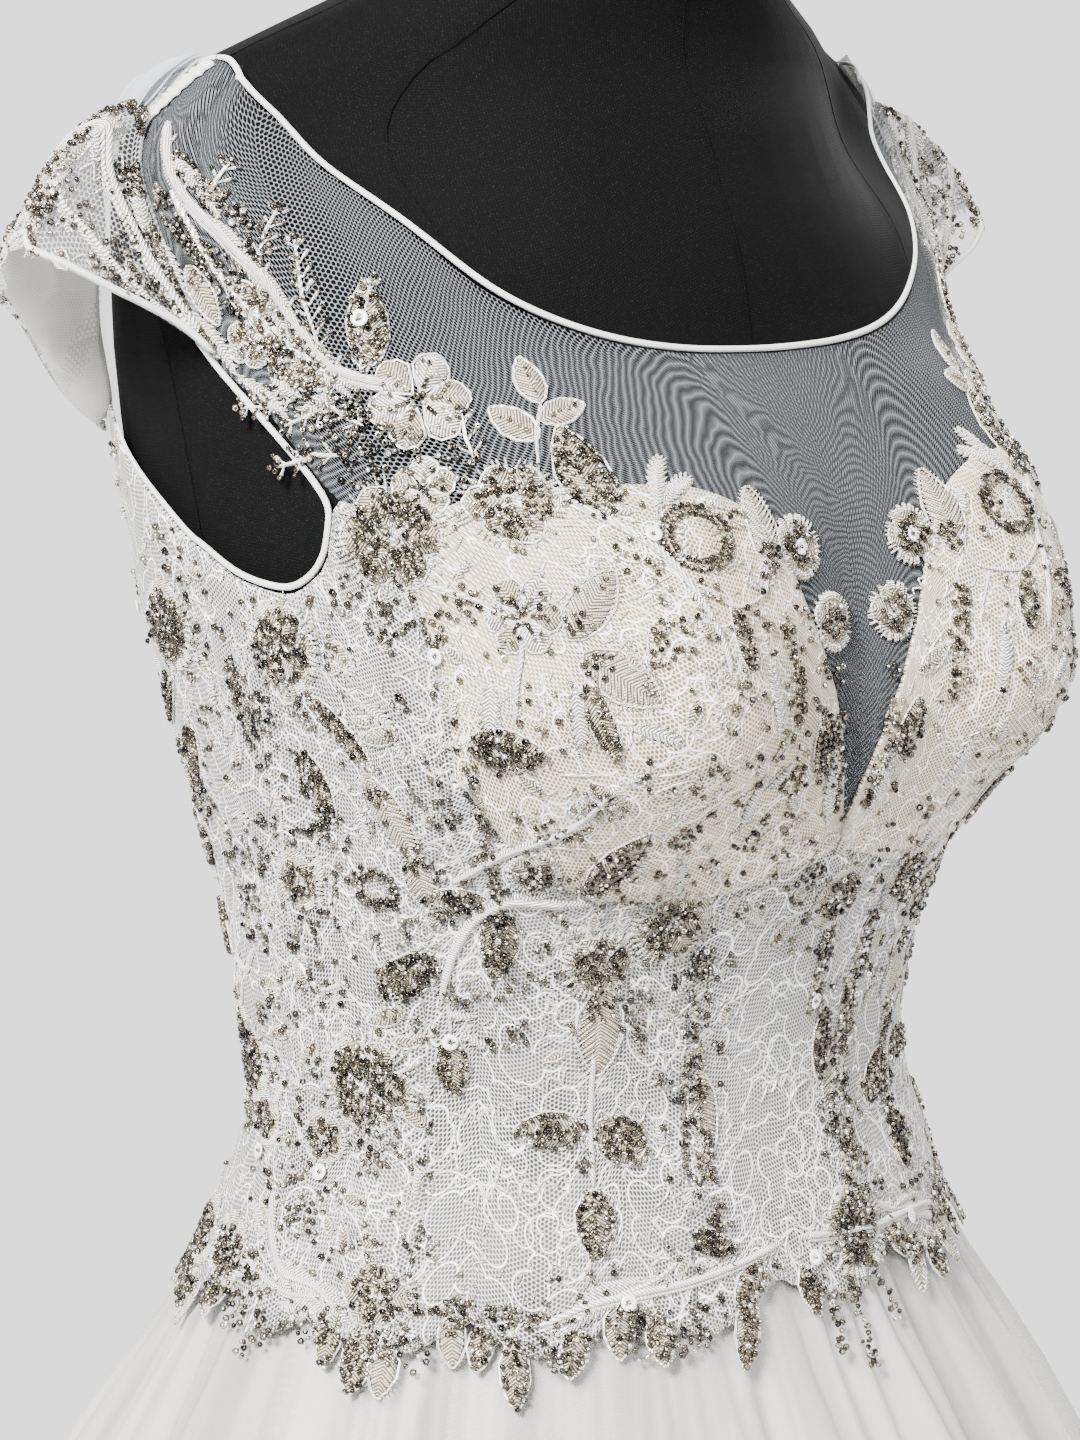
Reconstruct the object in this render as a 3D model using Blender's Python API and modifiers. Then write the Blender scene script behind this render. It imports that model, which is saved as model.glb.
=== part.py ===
"""A wedding dress worn by a limbless dress form on a round stand.

The dress is an illusion-neck bodice with padded cups, lace panels, cap sleeves and a
gathered tulle skirt over a satin underskirt.  Metres, +Z up.  The front faces -Y and the
wearer's left is +X.  The origin is on the floor, in the middle of the stand.

Every cloth piece is a thin wall worked out on one surface, the figure: an angle goes round
it from the centre front (0) to the wearer's left (90 degrees) and the centre back (180),
and a height is measured from the floor.
"""

import math
from collections import namedtuple

import bmesh
import bpy
import numpy as np

# ---------------------------------------------------------------- driving sizes (metres)
WAIST_SEAM_HEIGHT = 1.003
BUST_HEIGHT = 1.212
SHOULDER_HEIGHT = 1.412
NECKLINE_FRONT_HEIGHT = 1.3165
NECKLINE_BACK_HEIGHT = 1.338
HEM_HEIGHT = 0.014
FORM_BOTTOM_HEIGHT = 0.870
FORM_TOP_HEIGHT = 1.520

SEAM_GAP = 0.0003
EASE = 0.0019  # from the form to the inside of the cloth
SHOULDER_EASE = 0.0004
FORM_INSET = 0.0005  # the form's flat facets stay inside the surface the cloth is cut to
NET_THICKNESS = 0.0012
PANEL_THICKNESS = 0.0018
CUP_THICKNESS = 0.0026
SKIRT_THICKNESS = 0.0010
BINDING_RADIUS = 0.0014
SHOULDER_SEAM_RADIUS = 0.0018

LACE_ROWS = 12
CUP_ROWS = 8
YOKE_FRONT_ROWS = 6
YOKE_BACK_ROWS = 6
PRINCESS_ANGLE = 16
CUP_OUTER_ANGLE = 60
SIDE_SEAM_ANGLE = 90
ARMHOLE_BACK_ANGLE = 113
BACK_SEAM_ANGLE = 120
CLOSURE_ANGLE = 180

# Columns of every bodice piece, in degrees from the centre front.
PANEL_ANGLES = (0, 3, 7, 11, 16, 22, 28, 34, 41, 48, 54, 60, 66, 72, 78, 84, 87, 90,
                95, 100, 103, 107, 113, 120, 129, 138, 147, 157, 167, 176.5, 180)
PANEL_GIRTH_RADIUS = 0.125  # turns a width on the bodice into an angle
SEAM_HALF_ANGLE = 0.12
SHOULDER_SEAM_HALF_ANGLE = 0.16

# ---------------------------------------------------------------- the figure's sections
Section = namedtuple("Section", "height half_width front back centre power")
FIGURE = (
    Section(0.870, 0.158, 0.112, 0.120, 0.000, 2.1),
    Section(0.960, 0.148, 0.104, 0.108, 0.000, 2.1),
    Section(1.010, 0.139, 0.099, 0.097, 0.000, 2.1),
    Section(1.065, 0.128, 0.095, 0.083, 0.002, 2.1),
    Section(1.120, 0.133, 0.106, 0.085, 0.005, 2.2),
    Section(1.165, 0.141, 0.119, 0.091, 0.008, 2.3),
    Section(1.212, 0.150, 0.122, 0.101, 0.010, 2.35),
    Section(1.260, 0.157, 0.122, 0.112, 0.013, 2.35),
    Section(1.300, 0.163, 0.109, 0.118, 0.016, 2.2),
    Section(1.320, 0.166, 0.1005, 0.118, 0.018, 2.1),
    Section(1.340, 0.169, 0.0990, 0.113, 0.020, 2.0),
    Section(1.358, 0.171, 0.0950, 0.104, 0.021, 2.0),
    Section(1.376, 0.172, 0.0880, 0.094, 0.022, 2.0),
    Section(1.390, 0.168, 0.0820, 0.086, 0.021, 2.0),
    Section(1.402, 0.159, 0.0740, 0.077, 0.019, 2.0),
    Section(1.412, 0.146, 0.0660, 0.070, 0.016, 2.0),
    Section(1.424, 0.120, 0.0600, 0.063, 0.011, 2.0),
    Section(1.436, 0.092, 0.0560, 0.057, 0.005, 2.0),
    Section(1.450, 0.070, 0.0560, 0.055, 0.000, 2.0),
    Section(1.480, 0.061, 0.0550, 0.055, -0.005, 2.0),
    Section(1.520, 0.059, 0.0550, 0.055, -0.011, 2.0),
)
# The same surface continued below the waist seam, for the underskirt.
SKIRT = (
    Section(0.014, 0.530, 0.517, 0.517, 0.000, 2.0),
    Section(0.300, 0.425, 0.403, 0.407, 0.003, 2.0),
    Section(0.600, 0.312, 0.279, 0.286, 0.004, 2.0),
    Section(0.800, 0.228, 0.189, 0.197, 0.003, 2.0),
    Section(0.911, 0.178, 0.137, 0.143, 0.001, 2.05),
    Section(0.950, 0.160, 0.118, 0.122, 0.000, 2.1),
    Section(0.980, 0.1500, 0.1080, 0.1110, 0.000, 2.1),
    Section(1.003, 0.1420, 0.1020, 0.1040, 0.000, 2.1),
    Section(1.022, 0.1370, 0.0985, 0.1000, 0.000, 2.1),
)
SKIRT_BLEND = 0.019  # above the waist seam, where the bodice takes over from the skirt

# Forward fullness: where it is, how far it stands out and how wide it spreads.
Fullness = namedtuple("Fullness", "across height depth spread spread_down spread_up")
CUP_FULLNESS = Fullness(0.088, BUST_HEIGHT, 0.048, 0.042, 0.034, 0.052)
# The cloth spans the hollow between the cups and the hollow of the chest.
SPAN_BETWEEN_CUPS = Fullness(0.0, 1.205, 0.014, 0.026, 0.055, 0.060)
SPAN_OVER_CHEST = Fullness(0.0, 1.300, 0.005, 0.080, 0.040, 0.025)
# The hollow of the figure below the front of each shoulder.
SHOULDER_HOLLOW = Fullness(0.125, 1.390, -0.022, 0.030, 0.018, 0.022)
FORM_SHOULDER_HOLLOW = Fullness(0.125, 1.390, -0.026, 0.031, 0.020, 0.023)

# Heights and columns of the form's own mesh.
FORM_HEIGHTS = (FORM_BOTTOM_HEIGHT, 0.960, 1.016, 1.040, 1.063, 1.084, 1.106, 1.132, 1.162,
                1.188, 1.214, 1.242, 1.272, 1.302, 1.328, 1.350, 1.368, 1.382, 1.394,
                1.404, 1.414, 1.425, 1.437, 1.454, FORM_TOP_HEIGHT)
FORM_COLUMNS = 36

# Clearance of the bodice: the skirt's two layers are sewn in under its lower edge.
Clearance = namedtuple("Clearance", "height lift")
BODICE_CLEARANCE = (
    Clearance(0.980, 0.0084), Clearance(0.990, 0.0068), Clearance(1.003, 0.0054),
    Clearance(1.022, 0.0052), Clearance(1.050, EASE), Clearance(1.500, EASE),
)

# ---------------------------------------------------------------- edges of the pieces
Edge = namedtuple("Edge", "angle height")
NECKLINE = (
    Edge(0, NECKLINE_FRONT_HEIGHT), Edge(9.5, 1.3175), Edge(19, 1.321), Edge(28, 1.328),
    Edge(36.5, 1.340), Edge(43, 1.358), Edge(49.5, 1.377), Edge(54, 1.389), Edge(70, 1.402),
    Edge(90, SHOULDER_HEIGHT), Edge(102, 1.404), Edge(120, 1.386), Edge(140, 1.360),
    Edge(160, 1.343), Edge(180, NECKLINE_BACK_HEIGHT),
)
CUP_TOP = (
    Edge(0, 1.165), Edge(3, 1.199), Edge(7, 1.233), Edge(11, 1.261), Edge(16, 1.273),
    Edge(22, 1.278), Edge(34, 1.280), Edge(48, 1.277), Edge(60, 1.268),
)
CUP_BOTTOM = (
    Edge(0, 1.157), Edge(16, 1.146), Edge(34, 1.149), Edge(48, 1.165), Edge(60, 1.192),
)
ARMHOLE_LOW = (
    Edge(60, 1.268), Edge(66, 1.276), Edge(72, 1.254), Edge(78, 1.2455), Edge(84, 1.248),
    Edge(90, 1.258), Edge(95, 1.268), Edge(100, 1.276), Edge(107, 1.287), Edge(113, 1.302),
)
ARMHOLE_HIGH = (
    Edge(60, 1.268), Edge(66, 1.276), Edge(72, 1.304), Edge(78, 1.320), Edge(84, 1.352),
    Edge(90, 1.390), Edge(95, 1.393), Edge(100, 1.385), Edge(103, 1.375), Edge(107, 1.351),
    Edge(113, 1.302),
)
BACK_TOP = (Edge(113, 1.302), Edge(120, 1.284), Edge(147, 1.262), Edge(180, 1.252))
HEM_SCALLOPS = 15  # leaf-shaped points of the lace round the waist seam
HEM_SCALLOP_DEPTH = 0.013

# ---------------------------------------------------------------- raised lace motifs
Motif = namedtuple("Motif", "angle height radius rise petals")
MOTIFS = (
    Motif(14, 1.040, 0.017, 0.0014, 5), Motif(30, 1.085, 0.018, 0.0014, 6),
    Motif(24, 1.122, 0.015, 0.0012, 5), Motif(46, 1.050, 0.018, 0.0014, 6),
    Motif(52, 1.120, 0.016, 0.0012, 5), Motif(70, 1.077, 0.019, 0.0015, 6),
    Motif(76, 1.140, 0.016, 0.0012, 5), Motif(76, 1.222, 0.019, 0.0015, 6),
    Motif(92, 1.180, 0.016, 0.0012, 5), Motif(104, 1.100, 0.017, 0.0013, 5),
    Motif(112, 1.230, 0.018, 0.0014, 6), Motif(126, 1.055, 0.016, 0.0013, 5),
    Motif(138, 1.150, 0.018, 0.0014, 6), Motif(152, 1.215, 0.017, 0.0014, 5),
    Motif(158, 1.080, 0.016, 0.0013, 6), Motif(20, 1.205, 0.016, 0.0014, 5),
    Motif(44, 1.252, 0.018, 0.0016, 6), Motif(33, 1.190, 0.017, 0.0013, 5),
    Motif(50, 1.215, 0.015, 0.0013, 5), Motif(50, 1.305, 0.016, 0.0015, 6),
    Motif(30, 1.240, 0.014, 0.0012, 5), Motif(132, 1.310, 0.016, 0.0013, 6),
    Motif(110, 1.375, 0.013, 0.0012, 5), Motif(66, 1.345, 0.013, 0.0012, 5),
)
PETAL_DEPTH = 0.18  # share of a flower's radius between its petals

# ---------------------------------------------------------------- cap sleeves
# Where the cap is sewn on, how far it reaches out from there and how high its edge ends.
Cap = namedtuple("Cap", "angle root reach edge")
CAP = (
    Cap(76.5, 1.3180, 0.0035, 1.3190), Cap(78.5, 1.3240, 0.0120, 1.3300),
    Cap(81, 1.3370, 0.0310, 1.3420), Cap(84, 1.3540, 0.0380, 1.3490),
    Cap(87, 1.3740, 0.0410, 1.3530), Cap(90, 1.3920, 0.0440, 1.3560),
    Cap(95, 1.3950, 0.0470, 1.3540), Cap(100, 1.3870, 0.0430, 1.3470),
    Cap(103, 1.3770, 0.0420, 1.3430), Cap(107, 1.3530, 0.0400, 1.3390),
    Cap(110, 1.3290, 0.0380, 1.3340), Cap(113, 1.3050, 0.0310, 1.3220),
    Cap(116.5, 1.2950, 0.0180, 1.3020),
    Cap(119, 1.2880, 0.0035, 1.2890),
)
CAP_ROWS = 5
CAP_BEND = 2.2  # how late along its length the cap turns down
LEFT_CAP_SPREAD = 1.25  # the left cap stands further out than the right one

# ---------------------------------------------------------------- skirt
GORES = ("front", "left_front", "left_back", "back", "right_back", "right_front")
GORE_ANGLE = 360 / len(GORES)
SKIRT_TOP_HEIGHT = 1.020
TULLE_HEIGHTS = (HEM_HEIGHT, 0.320, 0.620, 0.820, 0.911, 0.950, 0.974, 0.990, 1.004,
                 SKIRT_TOP_HEIGHT)
LINING_HEIGHTS = (HEM_HEIGHT, 0.400, 0.760, 0.911, 0.965, 0.990, 1.004, SKIRT_TOP_HEIGHT)
# How far a layer stands off the underskirt's plain surface, and how deep its gathers are.
Layer = namedtuple("Layer", "height lift wave")
TULLE_LAYER = (
    Layer(0.014, 0.0320, 0.0190), Layer(0.300, 0.0300, 0.0165), Layer(0.600, 0.0260, 0.0125),
    Layer(0.800, 0.0210, 0.0085), Layer(0.911, 0.0155, 0.0055), Layer(0.945, 0.0120, 0.0038),
    Layer(0.972, 0.0070, 0.0016), Layer(0.990, 0.0036, 0.0004), Layer(1.003, 0.0027, 0.0001),
    Layer(1.022, 0.0026, 0.0),
)
LINING_LAYER = (
    Layer(0.014, 0.0, 0.0080), Layer(0.300, 0.0, 0.0070), Layer(0.600, 0.0, 0.0050),
    Layer(0.800, 0.0, 0.0030), Layer(0.911, 0.0002, 0.0015), Layer(0.960, 0.0006, 0.0005),
    Layer(0.985, 0.0009, 0.0001), Layer(1.003, 0.0010, 0.0), Layer(1.022, 0.0010, 0.0),
)
Skirt = namedtuple("Skirt", "name finish layers heights gathers columns_per_gather")
SKIRTS = (
    Skirt("skirt_lining", "satin", LINING_LAYER, LINING_HEIGHTS, 12, 5),
    Skirt("skirt_tulle", "tulle", TULLE_LAYER, TULLE_HEIGHTS, 24, 4),
)
WANDER = 1.6  # degrees that the gathers stray from even spacing

# ---------------------------------------------------------------- closure and stand
PLACKET_HALF_ANGLE = 3.5
PLACKET_THICKNESS = 0.0010
BUTTONS = 10
BUTTON_RADIUS = 0.0050
BUTTON_HEIGHT = 0.0040
POLE_RADIUS = 0.0160
BASE_RADIUS = 0.165
BASE_THICKNESS = 0.012
BASE_EDGE = 0.003
NECK_CAP_RADIUS = 0.052
NECK_CAP_HEIGHT = 0.016

# ---------------------------------------------------------------- colours
Finish = namedtuple("Finish", "red green blue roughness metallic")
FINISHES = {
    "net": Finish(0.62, 0.64, 0.66, 0.70, 0.0),
    "lace": Finish(0.80, 0.78, 0.74, 0.60, 0.0),
    "padding": Finish(0.82, 0.76, 0.68, 0.75, 0.0),
    "binding": Finish(0.88, 0.88, 0.86, 0.55, 0.0),
    "satin": Finish(0.84, 0.82, 0.78, 0.38, 0.0),
    "tulle": Finish(0.82, 0.81, 0.79, 0.70, 0.0),
    "jersey": Finish(0.02, 0.02, 0.022, 0.85, 0.0),
    "steel": Finish(0.06, 0.06, 0.06, 0.35, 1.0),
}


# ---------------------------------------------------------------- surfaces
def smooth_value(rows, column, at, key="height"):
    """Reads one column of a table anywhere, on a smooth curve that doesn't overshoot."""
    rows = sorted(rows, key=lambda row: getattr(row, key))
    xs = np.array([getattr(row, key) for row in rows], dtype=float)
    ys = np.array([getattr(row, column) for row in rows], dtype=float)
    slopes = np.diff(ys) / np.diff(xs)
    before, after = slopes[:-1], slopes[1:]
    same_way = before * after > 0
    tangents = np.concatenate([slopes[:1], np.zeros(len(before)), slopes[-1:]])
    tangents[1:-1][same_way] = (2 * before * after / np.where(same_way, before + after, 1))[same_way]
    at = np.clip(at, xs[0], xs[-1])
    i = np.clip(np.searchsorted(xs, at) - 1, 0, len(xs) - 2)
    width = xs[i + 1] - xs[i]
    t = (at - xs[i]) / width
    rise = t * t * (3 - 2 * t)
    bend = t * (1 - t) ** 2 * tangents[i] - t * t * (1 - t) * tangents[i + 1]
    return (1 - rise) * ys[i] + rise * ys[i + 1] + width * bend


def edge_height(edges, angle):
    """Height of an edge at an angle, the same on both sides of the body."""
    return smooth_value(edges, "height", np.abs(angle), key="angle")


def fullness_depth(fullness, across, height):
    """How far one fullness pushes the surface forward."""
    spread = np.where(height < fullness.height, fullness.spread_down, fullness.spread_up)
    sideways = (np.abs(across) - fullness.across) / fullness.spread
    upward = (height - fullness.height) / spread
    return fullness.depth * np.exp(-0.5 * (sideways**2 + upward**2))


def ring_point(sections, angle, height, fullnesses=()):
    """Points of the surface that a table of sections describes."""
    half_width = smooth_value(sections, "half_width", height)
    front = smooth_value(sections, "front", height)
    back = smooth_value(sections, "back", height)
    centre = smooth_value(sections, "centre", height)
    power = 2 / smooth_value(sections, "power", height)
    sine, cosine = np.sin(np.radians(angle)), np.cos(np.radians(angle))
    x = half_width * np.sign(sine) * np.abs(sine) ** power
    depth = np.where(cosine > 0, front, back)
    y = centre - depth * np.sign(cosine) * np.abs(cosine) ** power
    facing = np.clip(cosine * 3, 0, 1)
    for fullness in fullnesses:
        y = y - facing * fullness_depth(fullness, x, height)
    return np.stack(np.broadcast_arrays(x, y, height + 0 * x), axis=-1)


def form_point(angle, height):
    """The dress form's surface."""
    return ring_point(FIGURE, angle, height, (CUP_FULLNESS, FORM_SHOULDER_HOLLOW))


def cloth_point(angle, height):
    """The surface that the cloth is cut to: the figure, and the skirt below the waist seam."""
    spans = (CUP_FULLNESS, SHOULDER_HOLLOW, SPAN_BETWEEN_CUPS, SPAN_OVER_CHEST)
    above = ring_point(FIGURE, angle, height, spans)
    share = np.clip((height - WAIST_SEAM_HEIGHT) / SKIRT_BLEND, 0, 1)[..., None]
    return ring_point(SKIRT, angle, height) * (1 - share) + above * share


def lifted(surface, angle, height, lift):
    """Points of a surface moved out along its normals."""
    angle, height = np.broadcast_arrays(
        np.asarray(angle, dtype=float), np.asarray(height, dtype=float)
    )
    turn_step, height_step = 0.6, 0.0012
    along = surface(angle + turn_step, height) - surface(angle - turn_step, height)
    upward = surface(angle, height + height_step) - surface(angle, height - height_step)
    normal = np.cross(along, upward)
    normal /= np.linalg.norm(normal, axis=-1, keepdims=True)
    return surface(angle, height) + normal * np.asarray(lift)[..., None]


def bodice_lift(angle, height):
    """Clearance of the cloth, which hangs from the top of the shoulders."""
    on_shoulder = np.clip((height - 1.390) / 0.012, 0, 1)
    on_shoulder = on_shoulder * np.exp(-(((np.abs(angle) - 90) / 9) ** 2))
    lift = smooth_value(BODICE_CLEARANCE, "lift", height)
    return lift + (SHOULDER_EASE - EASE) * on_shoulder


def relief(angle, height):
    """How far the lace's flowers stand out of a panel."""
    total = np.zeros(np.broadcast(angle, height).shape)
    for motif in MOTIFS:
        across = np.radians(np.abs(angle) - motif.angle) * PANEL_GIRTH_RADIUS
        upward = height - motif.height
        distance = np.hypot(across, upward) / motif.radius
        lobes = 1 + PETAL_DEPTH * np.cos(motif.petals * np.arctan2(upward, across))
        total = np.maximum(total, motif.rise * np.clip(1.6 - 1.3 * distance / lobes, 0, 1))
    return total


# ---------------------------------------------------------------- meshes and objects
def material(key):
    """A plain finish by name, made once."""
    found = bpy.data.materials.get(key)
    if found:
        return found
    finish = FINISHES[key]
    made = bpy.data.materials.new(key)
    made.use_nodes = True
    shader = made.node_tree.nodes["Principled BSDF"]
    shader.inputs["Base Color"].default_value = (finish.red, finish.green, finish.blue, 1)
    shader.inputs["Roughness"].default_value = finish.roughness
    shader.inputs["Metallic"].default_value = finish.metallic
    return made


def place(name, mesh, finish, collection):
    """Adds a mesh to the dress as one named sub-part."""
    mesh.materials.clear()
    mesh.materials.append(material(finish))
    mesh.shade_smooth()
    mesh.set_sharp_from_angle(angle=math.radians(40))
    piece = bpy.data.objects.new(name, mesh)
    collection.objects.link(piece)
    return piece


def cloth_wall(name, inner, outer, finish, collection):
    """A closed wall between two grids of points, with rows going up and columns to the left."""
    rows, columns = inner.shape[:2]
    bm = bmesh.new()
    inside = [[bm.verts.new(point) for point in row] for row in inner]
    outside = [[bm.verts.new(point) for point in row] for row in outer]
    for r in range(rows - 1):
        for c in range(columns - 1):
            bm.faces.new((inside[r][c], inside[r + 1][c], inside[r + 1][c + 1], inside[r][c + 1]))
            bm.faces.new((outside[r][c], outside[r][c + 1], outside[r + 1][c + 1],
                          outside[r + 1][c]))
    rim = [(0, c) for c in range(columns - 1)]
    rim += [(r, columns - 1) for r in range(rows - 1)]
    rim += [(rows - 1, c) for c in range(columns - 1, 0, -1)]
    rim += [(r, 0) for r in range(rows - 1, 0, -1)]
    for (r, c), (next_r, next_c) in zip(rim, rim[1:] + rim[:1]):
        bm.faces.new((outside[next_r][next_c], outside[r][c], inside[r][c],
                      inside[next_r][next_c]))
    bmesh.ops.triangulate(bm, faces=bm.faces, quad_method="FIXED")
    mesh = bpy.data.meshes.new(name)
    bm.to_mesh(mesh)
    bm.free()
    return place(name, mesh, finish, collection)


def tube(name, points, radius, finish, collection):
    """A narrow round binding along a line of points."""
    curve = bpy.data.curves.new(name, "CURVE")
    curve.dimensions = "3D"
    curve.bevel_depth = radius
    curve.bevel_resolution = 1
    curve.use_fill_caps = True
    spline = curve.splines.new("POLY")
    spline.points.add(len(points) - 1)
    for spot, point in zip(spline.points, points):
        spot.co = (*point, 1)
    curve.materials.append(material(finish))
    piece = bpy.data.objects.new(name, curve)
    collection.objects.link(piece)
    return piece


def side_name(side):
    """The word for a side of the wearer."""
    return "left" if side > 0 else "right"


# ---------------------------------------------------------------- the bodice
def seam_half_angle(angle):
    """Half of a seam's gap; the sections turn tightly at the shoulder's seam."""
    return SHOULDER_SEAM_HALF_ANGLE if angle == SIDE_SEAM_ANGLE else SEAM_HALF_ANGLE


def columns_between(low, high, side):
    """The angles of a piece's columns, kept half a seam's gap inside its two seams."""
    angles = np.array([angle for angle in PANEL_ANGLES if low <= angle <= high], dtype=float)
    angles[0] += seam_half_angle(low)
    angles[-1] -= seam_half_angle(high)
    return angles if side > 0 else -angles[::-1]


def columns_across(high):
    """The angles of a piece that crosses the centre front."""
    left = columns_between(0, high, 1)[1:]
    return np.concatenate([-left[::-1], [0.0], left])


def seam_room(edge, angles):
    """Half of a seam's gap, measured upright on an edge that may be steep."""
    run = math.radians(1) * PANEL_GIRTH_RADIUS
    slope = (edge(angles + 0.5) - edge(angles - 0.5)) / run
    return SEAM_GAP / 2 * np.hypot(1, slope)


def panel_heights(angles, bottom, top, rows):
    """The heights of a piece's rows, from its bottom edge up to its top edge."""
    low = bottom(angles) + seam_room(bottom, angles)
    high = top(angles) - seam_room(top, angles)
    return low + (high - low) * np.linspace(0, 1, rows + 1)[:, None]


def panel(name, angles, bottom, top, rows, thickness, finish, collection):
    """A piece of the bodice between two seams and two edges."""
    height = panel_heights(angles, bottom, top, rows)
    angle = angles + 0 * height
    lift = bodice_lift(angle, height)
    inner = lifted(cloth_point, angle, height, lift)
    outer = lifted(cloth_point, angle, height, lift + thickness + relief(angle, height))
    return cloth_wall(name, inner, outer, finish, collection)


def waist_edge(angle):
    """The lace's lower edge, in soft leaf-shaped points over the skirt."""
    points = np.abs(np.sin(np.radians(angle) * HEM_SCALLOPS / 2 + 0.4))
    return WAIST_SEAM_HEIGHT - HEM_SCALLOP_DEPTH * points


def cup_bottom(angle):
    return edge_height(CUP_BOTTOM, angle)


def cup_top(angle):
    return edge_height(CUP_TOP, angle)


def armhole_low(angle):
    return edge_height(ARMHOLE_LOW, angle)


def back_top(angle):
    return edge_height(BACK_TOP, angle)


def neckline(angle):
    return edge_height(NECKLINE, angle)


def side_back_top(angle):
    """The armhole's lower edge, then the top of the back lace."""
    return np.where(np.abs(angle) < ARMHOLE_BACK_ANGLE, armhole_low(angle), back_top(angle))


def yoke_front_bottom(angle):
    """The top of the cups, then the armhole's upper edge."""
    high = edge_height(ARMHOLE_HIGH, angle)
    return np.where(np.abs(angle) < CUP_OUTER_ANGLE, cup_top(angle), high)


def yoke_back_bottom(angle):
    """The armhole's upper edge, then the top of the back lace."""
    high = edge_height(ARMHOLE_HIGH, angle)
    return np.where(np.abs(angle) < ARMHOLE_BACK_ANGLE, high, back_top(angle))


def build_bodice(collection):
    """The lace panels, the padded cups and the illusion yoke."""
    panel("bodice_front_centre", columns_across(PRINCESS_ANGLE), waist_edge, cup_bottom, LACE_ROWS - 3,
          PANEL_THICKNESS, "lace", collection)
    panel("yoke_front", columns_across(SIDE_SEAM_ANGLE), yoke_front_bottom, neckline,
          YOKE_FRONT_ROWS, NET_THICKNESS, "net", collection)
    for side in (-1, 1):
        word = side_name(side)
        panel(f"bodice_front_{word}", columns_between(PRINCESS_ANGLE, CUP_OUTER_ANGLE, side),
              waist_edge, cup_bottom, LACE_ROWS - 3, PANEL_THICKNESS, "lace", collection)
        panel(f"bodice_side_{word}", columns_between(CUP_OUTER_ANGLE, SIDE_SEAM_ANGLE, side),
              waist_edge, armhole_low, LACE_ROWS, PANEL_THICKNESS, "lace", collection)
        panel(f"bodice_side_back_{word}", columns_between(SIDE_SEAM_ANGLE, BACK_SEAM_ANGLE, side),
              waist_edge, side_back_top, LACE_ROWS, PANEL_THICKNESS, "lace", collection)
        panel(f"bodice_back_{word}", columns_between(BACK_SEAM_ANGLE, CLOSURE_ANGLE, side),
              waist_edge, back_top, LACE_ROWS, PANEL_THICKNESS, "lace", collection)
        panel(f"cup_{word}", columns_between(0, CUP_OUTER_ANGLE, side),
              cup_bottom, cup_top, CUP_ROWS, CUP_THICKNESS, "padding", collection)
        panel(f"yoke_back_{word}", columns_between(SIDE_SEAM_ANGLE, CLOSURE_ANGLE, side),
              yoke_back_bottom, neckline, YOKE_BACK_ROWS, NET_THICKNESS, "net", collection)


# ---------------------------------------------------------------- sleeves and bindings
def build_sleeves(collection):
    """Cap sleeves sewn on outside the top of each armhole, level at first and then hanging."""
    angle = np.array([cap.angle for cap in CAP], dtype=float)
    height = np.array([cap.root for cap in CAP])
    reach = np.array([cap.reach for cap in CAP])
    drop = height - np.array([cap.edge for cap in CAP])
    lift = bodice_lift(angle, height) + NET_THICKNESS + 4 * SEAM_GAP
    root = lifted(cloth_point, angle, height, lift)
    out = np.linspace(1, 0, CAP_ROWS + 1)[:, None]
    for side, spread in ((1, LEFT_CAP_SPREAD), (-1, 1.0)):
        ahead = reach * spread
        inner = root + np.stack([ahead * out, 0 * out * ahead, -drop * out**CAP_BEND], axis=-1)
        slope = np.arctan2(drop * CAP_BEND * out ** (CAP_BEND - 1), ahead)
        upward = np.stack([np.sin(slope), 0 * slope, np.cos(slope)], axis=-1)
        outer = inner + upward * PANEL_THICKNESS
        if side < 0:
            mirror = np.array([-1, 1, 1])
            inner, outer = (inner * mirror)[:, ::-1], (outer * mirror)[:, ::-1]
        cloth_wall(f"cap_sleeve_{side_name(side)}", inner, outer, "lace", collection)


def beside(angles, heights, distance):
    """A line that keeps to one side of a piece's edge, standing on the same surface."""
    lift = bodice_lift(angles, heights)
    edge = lifted(cloth_point, angles, heights, lift)
    raised = lifted(cloth_point, angles, heights, lift + BINDING_RADIUS)
    sideways = np.cross(raised - edge, np.gradient(edge, axis=0))
    sideways /= np.linalg.norm(sideways, axis=-1, keepdims=True)
    return raised + sideways * distance


def build_bindings(collection):
    """White bindings of the neckline and the open part of each armhole, and the shoulder seams."""
    room = BINDING_RADIUS + 1.6 * SEAM_GAP
    front = columns_across(SIDE_SEAM_ANGLE)
    tube("neck_binding_front", beside(front, neckline(front), room), BINDING_RADIUS,
         "binding", collection)
    rising = np.array([76.5, 72])
    falling = np.array([66, 72, 78, 84, 90, 95, 100, 107, 110.5])
    armhole = np.concatenate([rising, falling])
    armhole_height = np.concatenate([edge_height(ARMHOLE_HIGH, rising), armhole_low(falling)])
    seam_heights = np.linspace(1.3965, SHOULDER_HEIGHT - 0.003, 5)
    for side in (-1, 1):
        word = side_name(side)
        back = columns_between(SIDE_SEAM_ANGLE, CLOSURE_ANGLE, side)
        tube(f"neck_binding_back_{word}", beside(back, neckline(back), room),
             BINDING_RADIUS, "binding", collection)
        tube(f"armhole_binding_{word}", beside(side * armhole, armhole_height, side * room),
             BINDING_RADIUS, "binding", collection)
        angles = np.full(len(seam_heights), float(side * SIDE_SEAM_ANGLE))
        lift = SHOULDER_EASE + NET_THICKNESS + SHOULDER_SEAM_RADIUS + 2 * SEAM_GAP
        tube(f"shoulder_seam_{word}", lifted(cloth_point, angles, seam_heights, lift + 0 * angles),
             SHOULDER_SEAM_RADIUS, "binding", collection)


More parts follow.
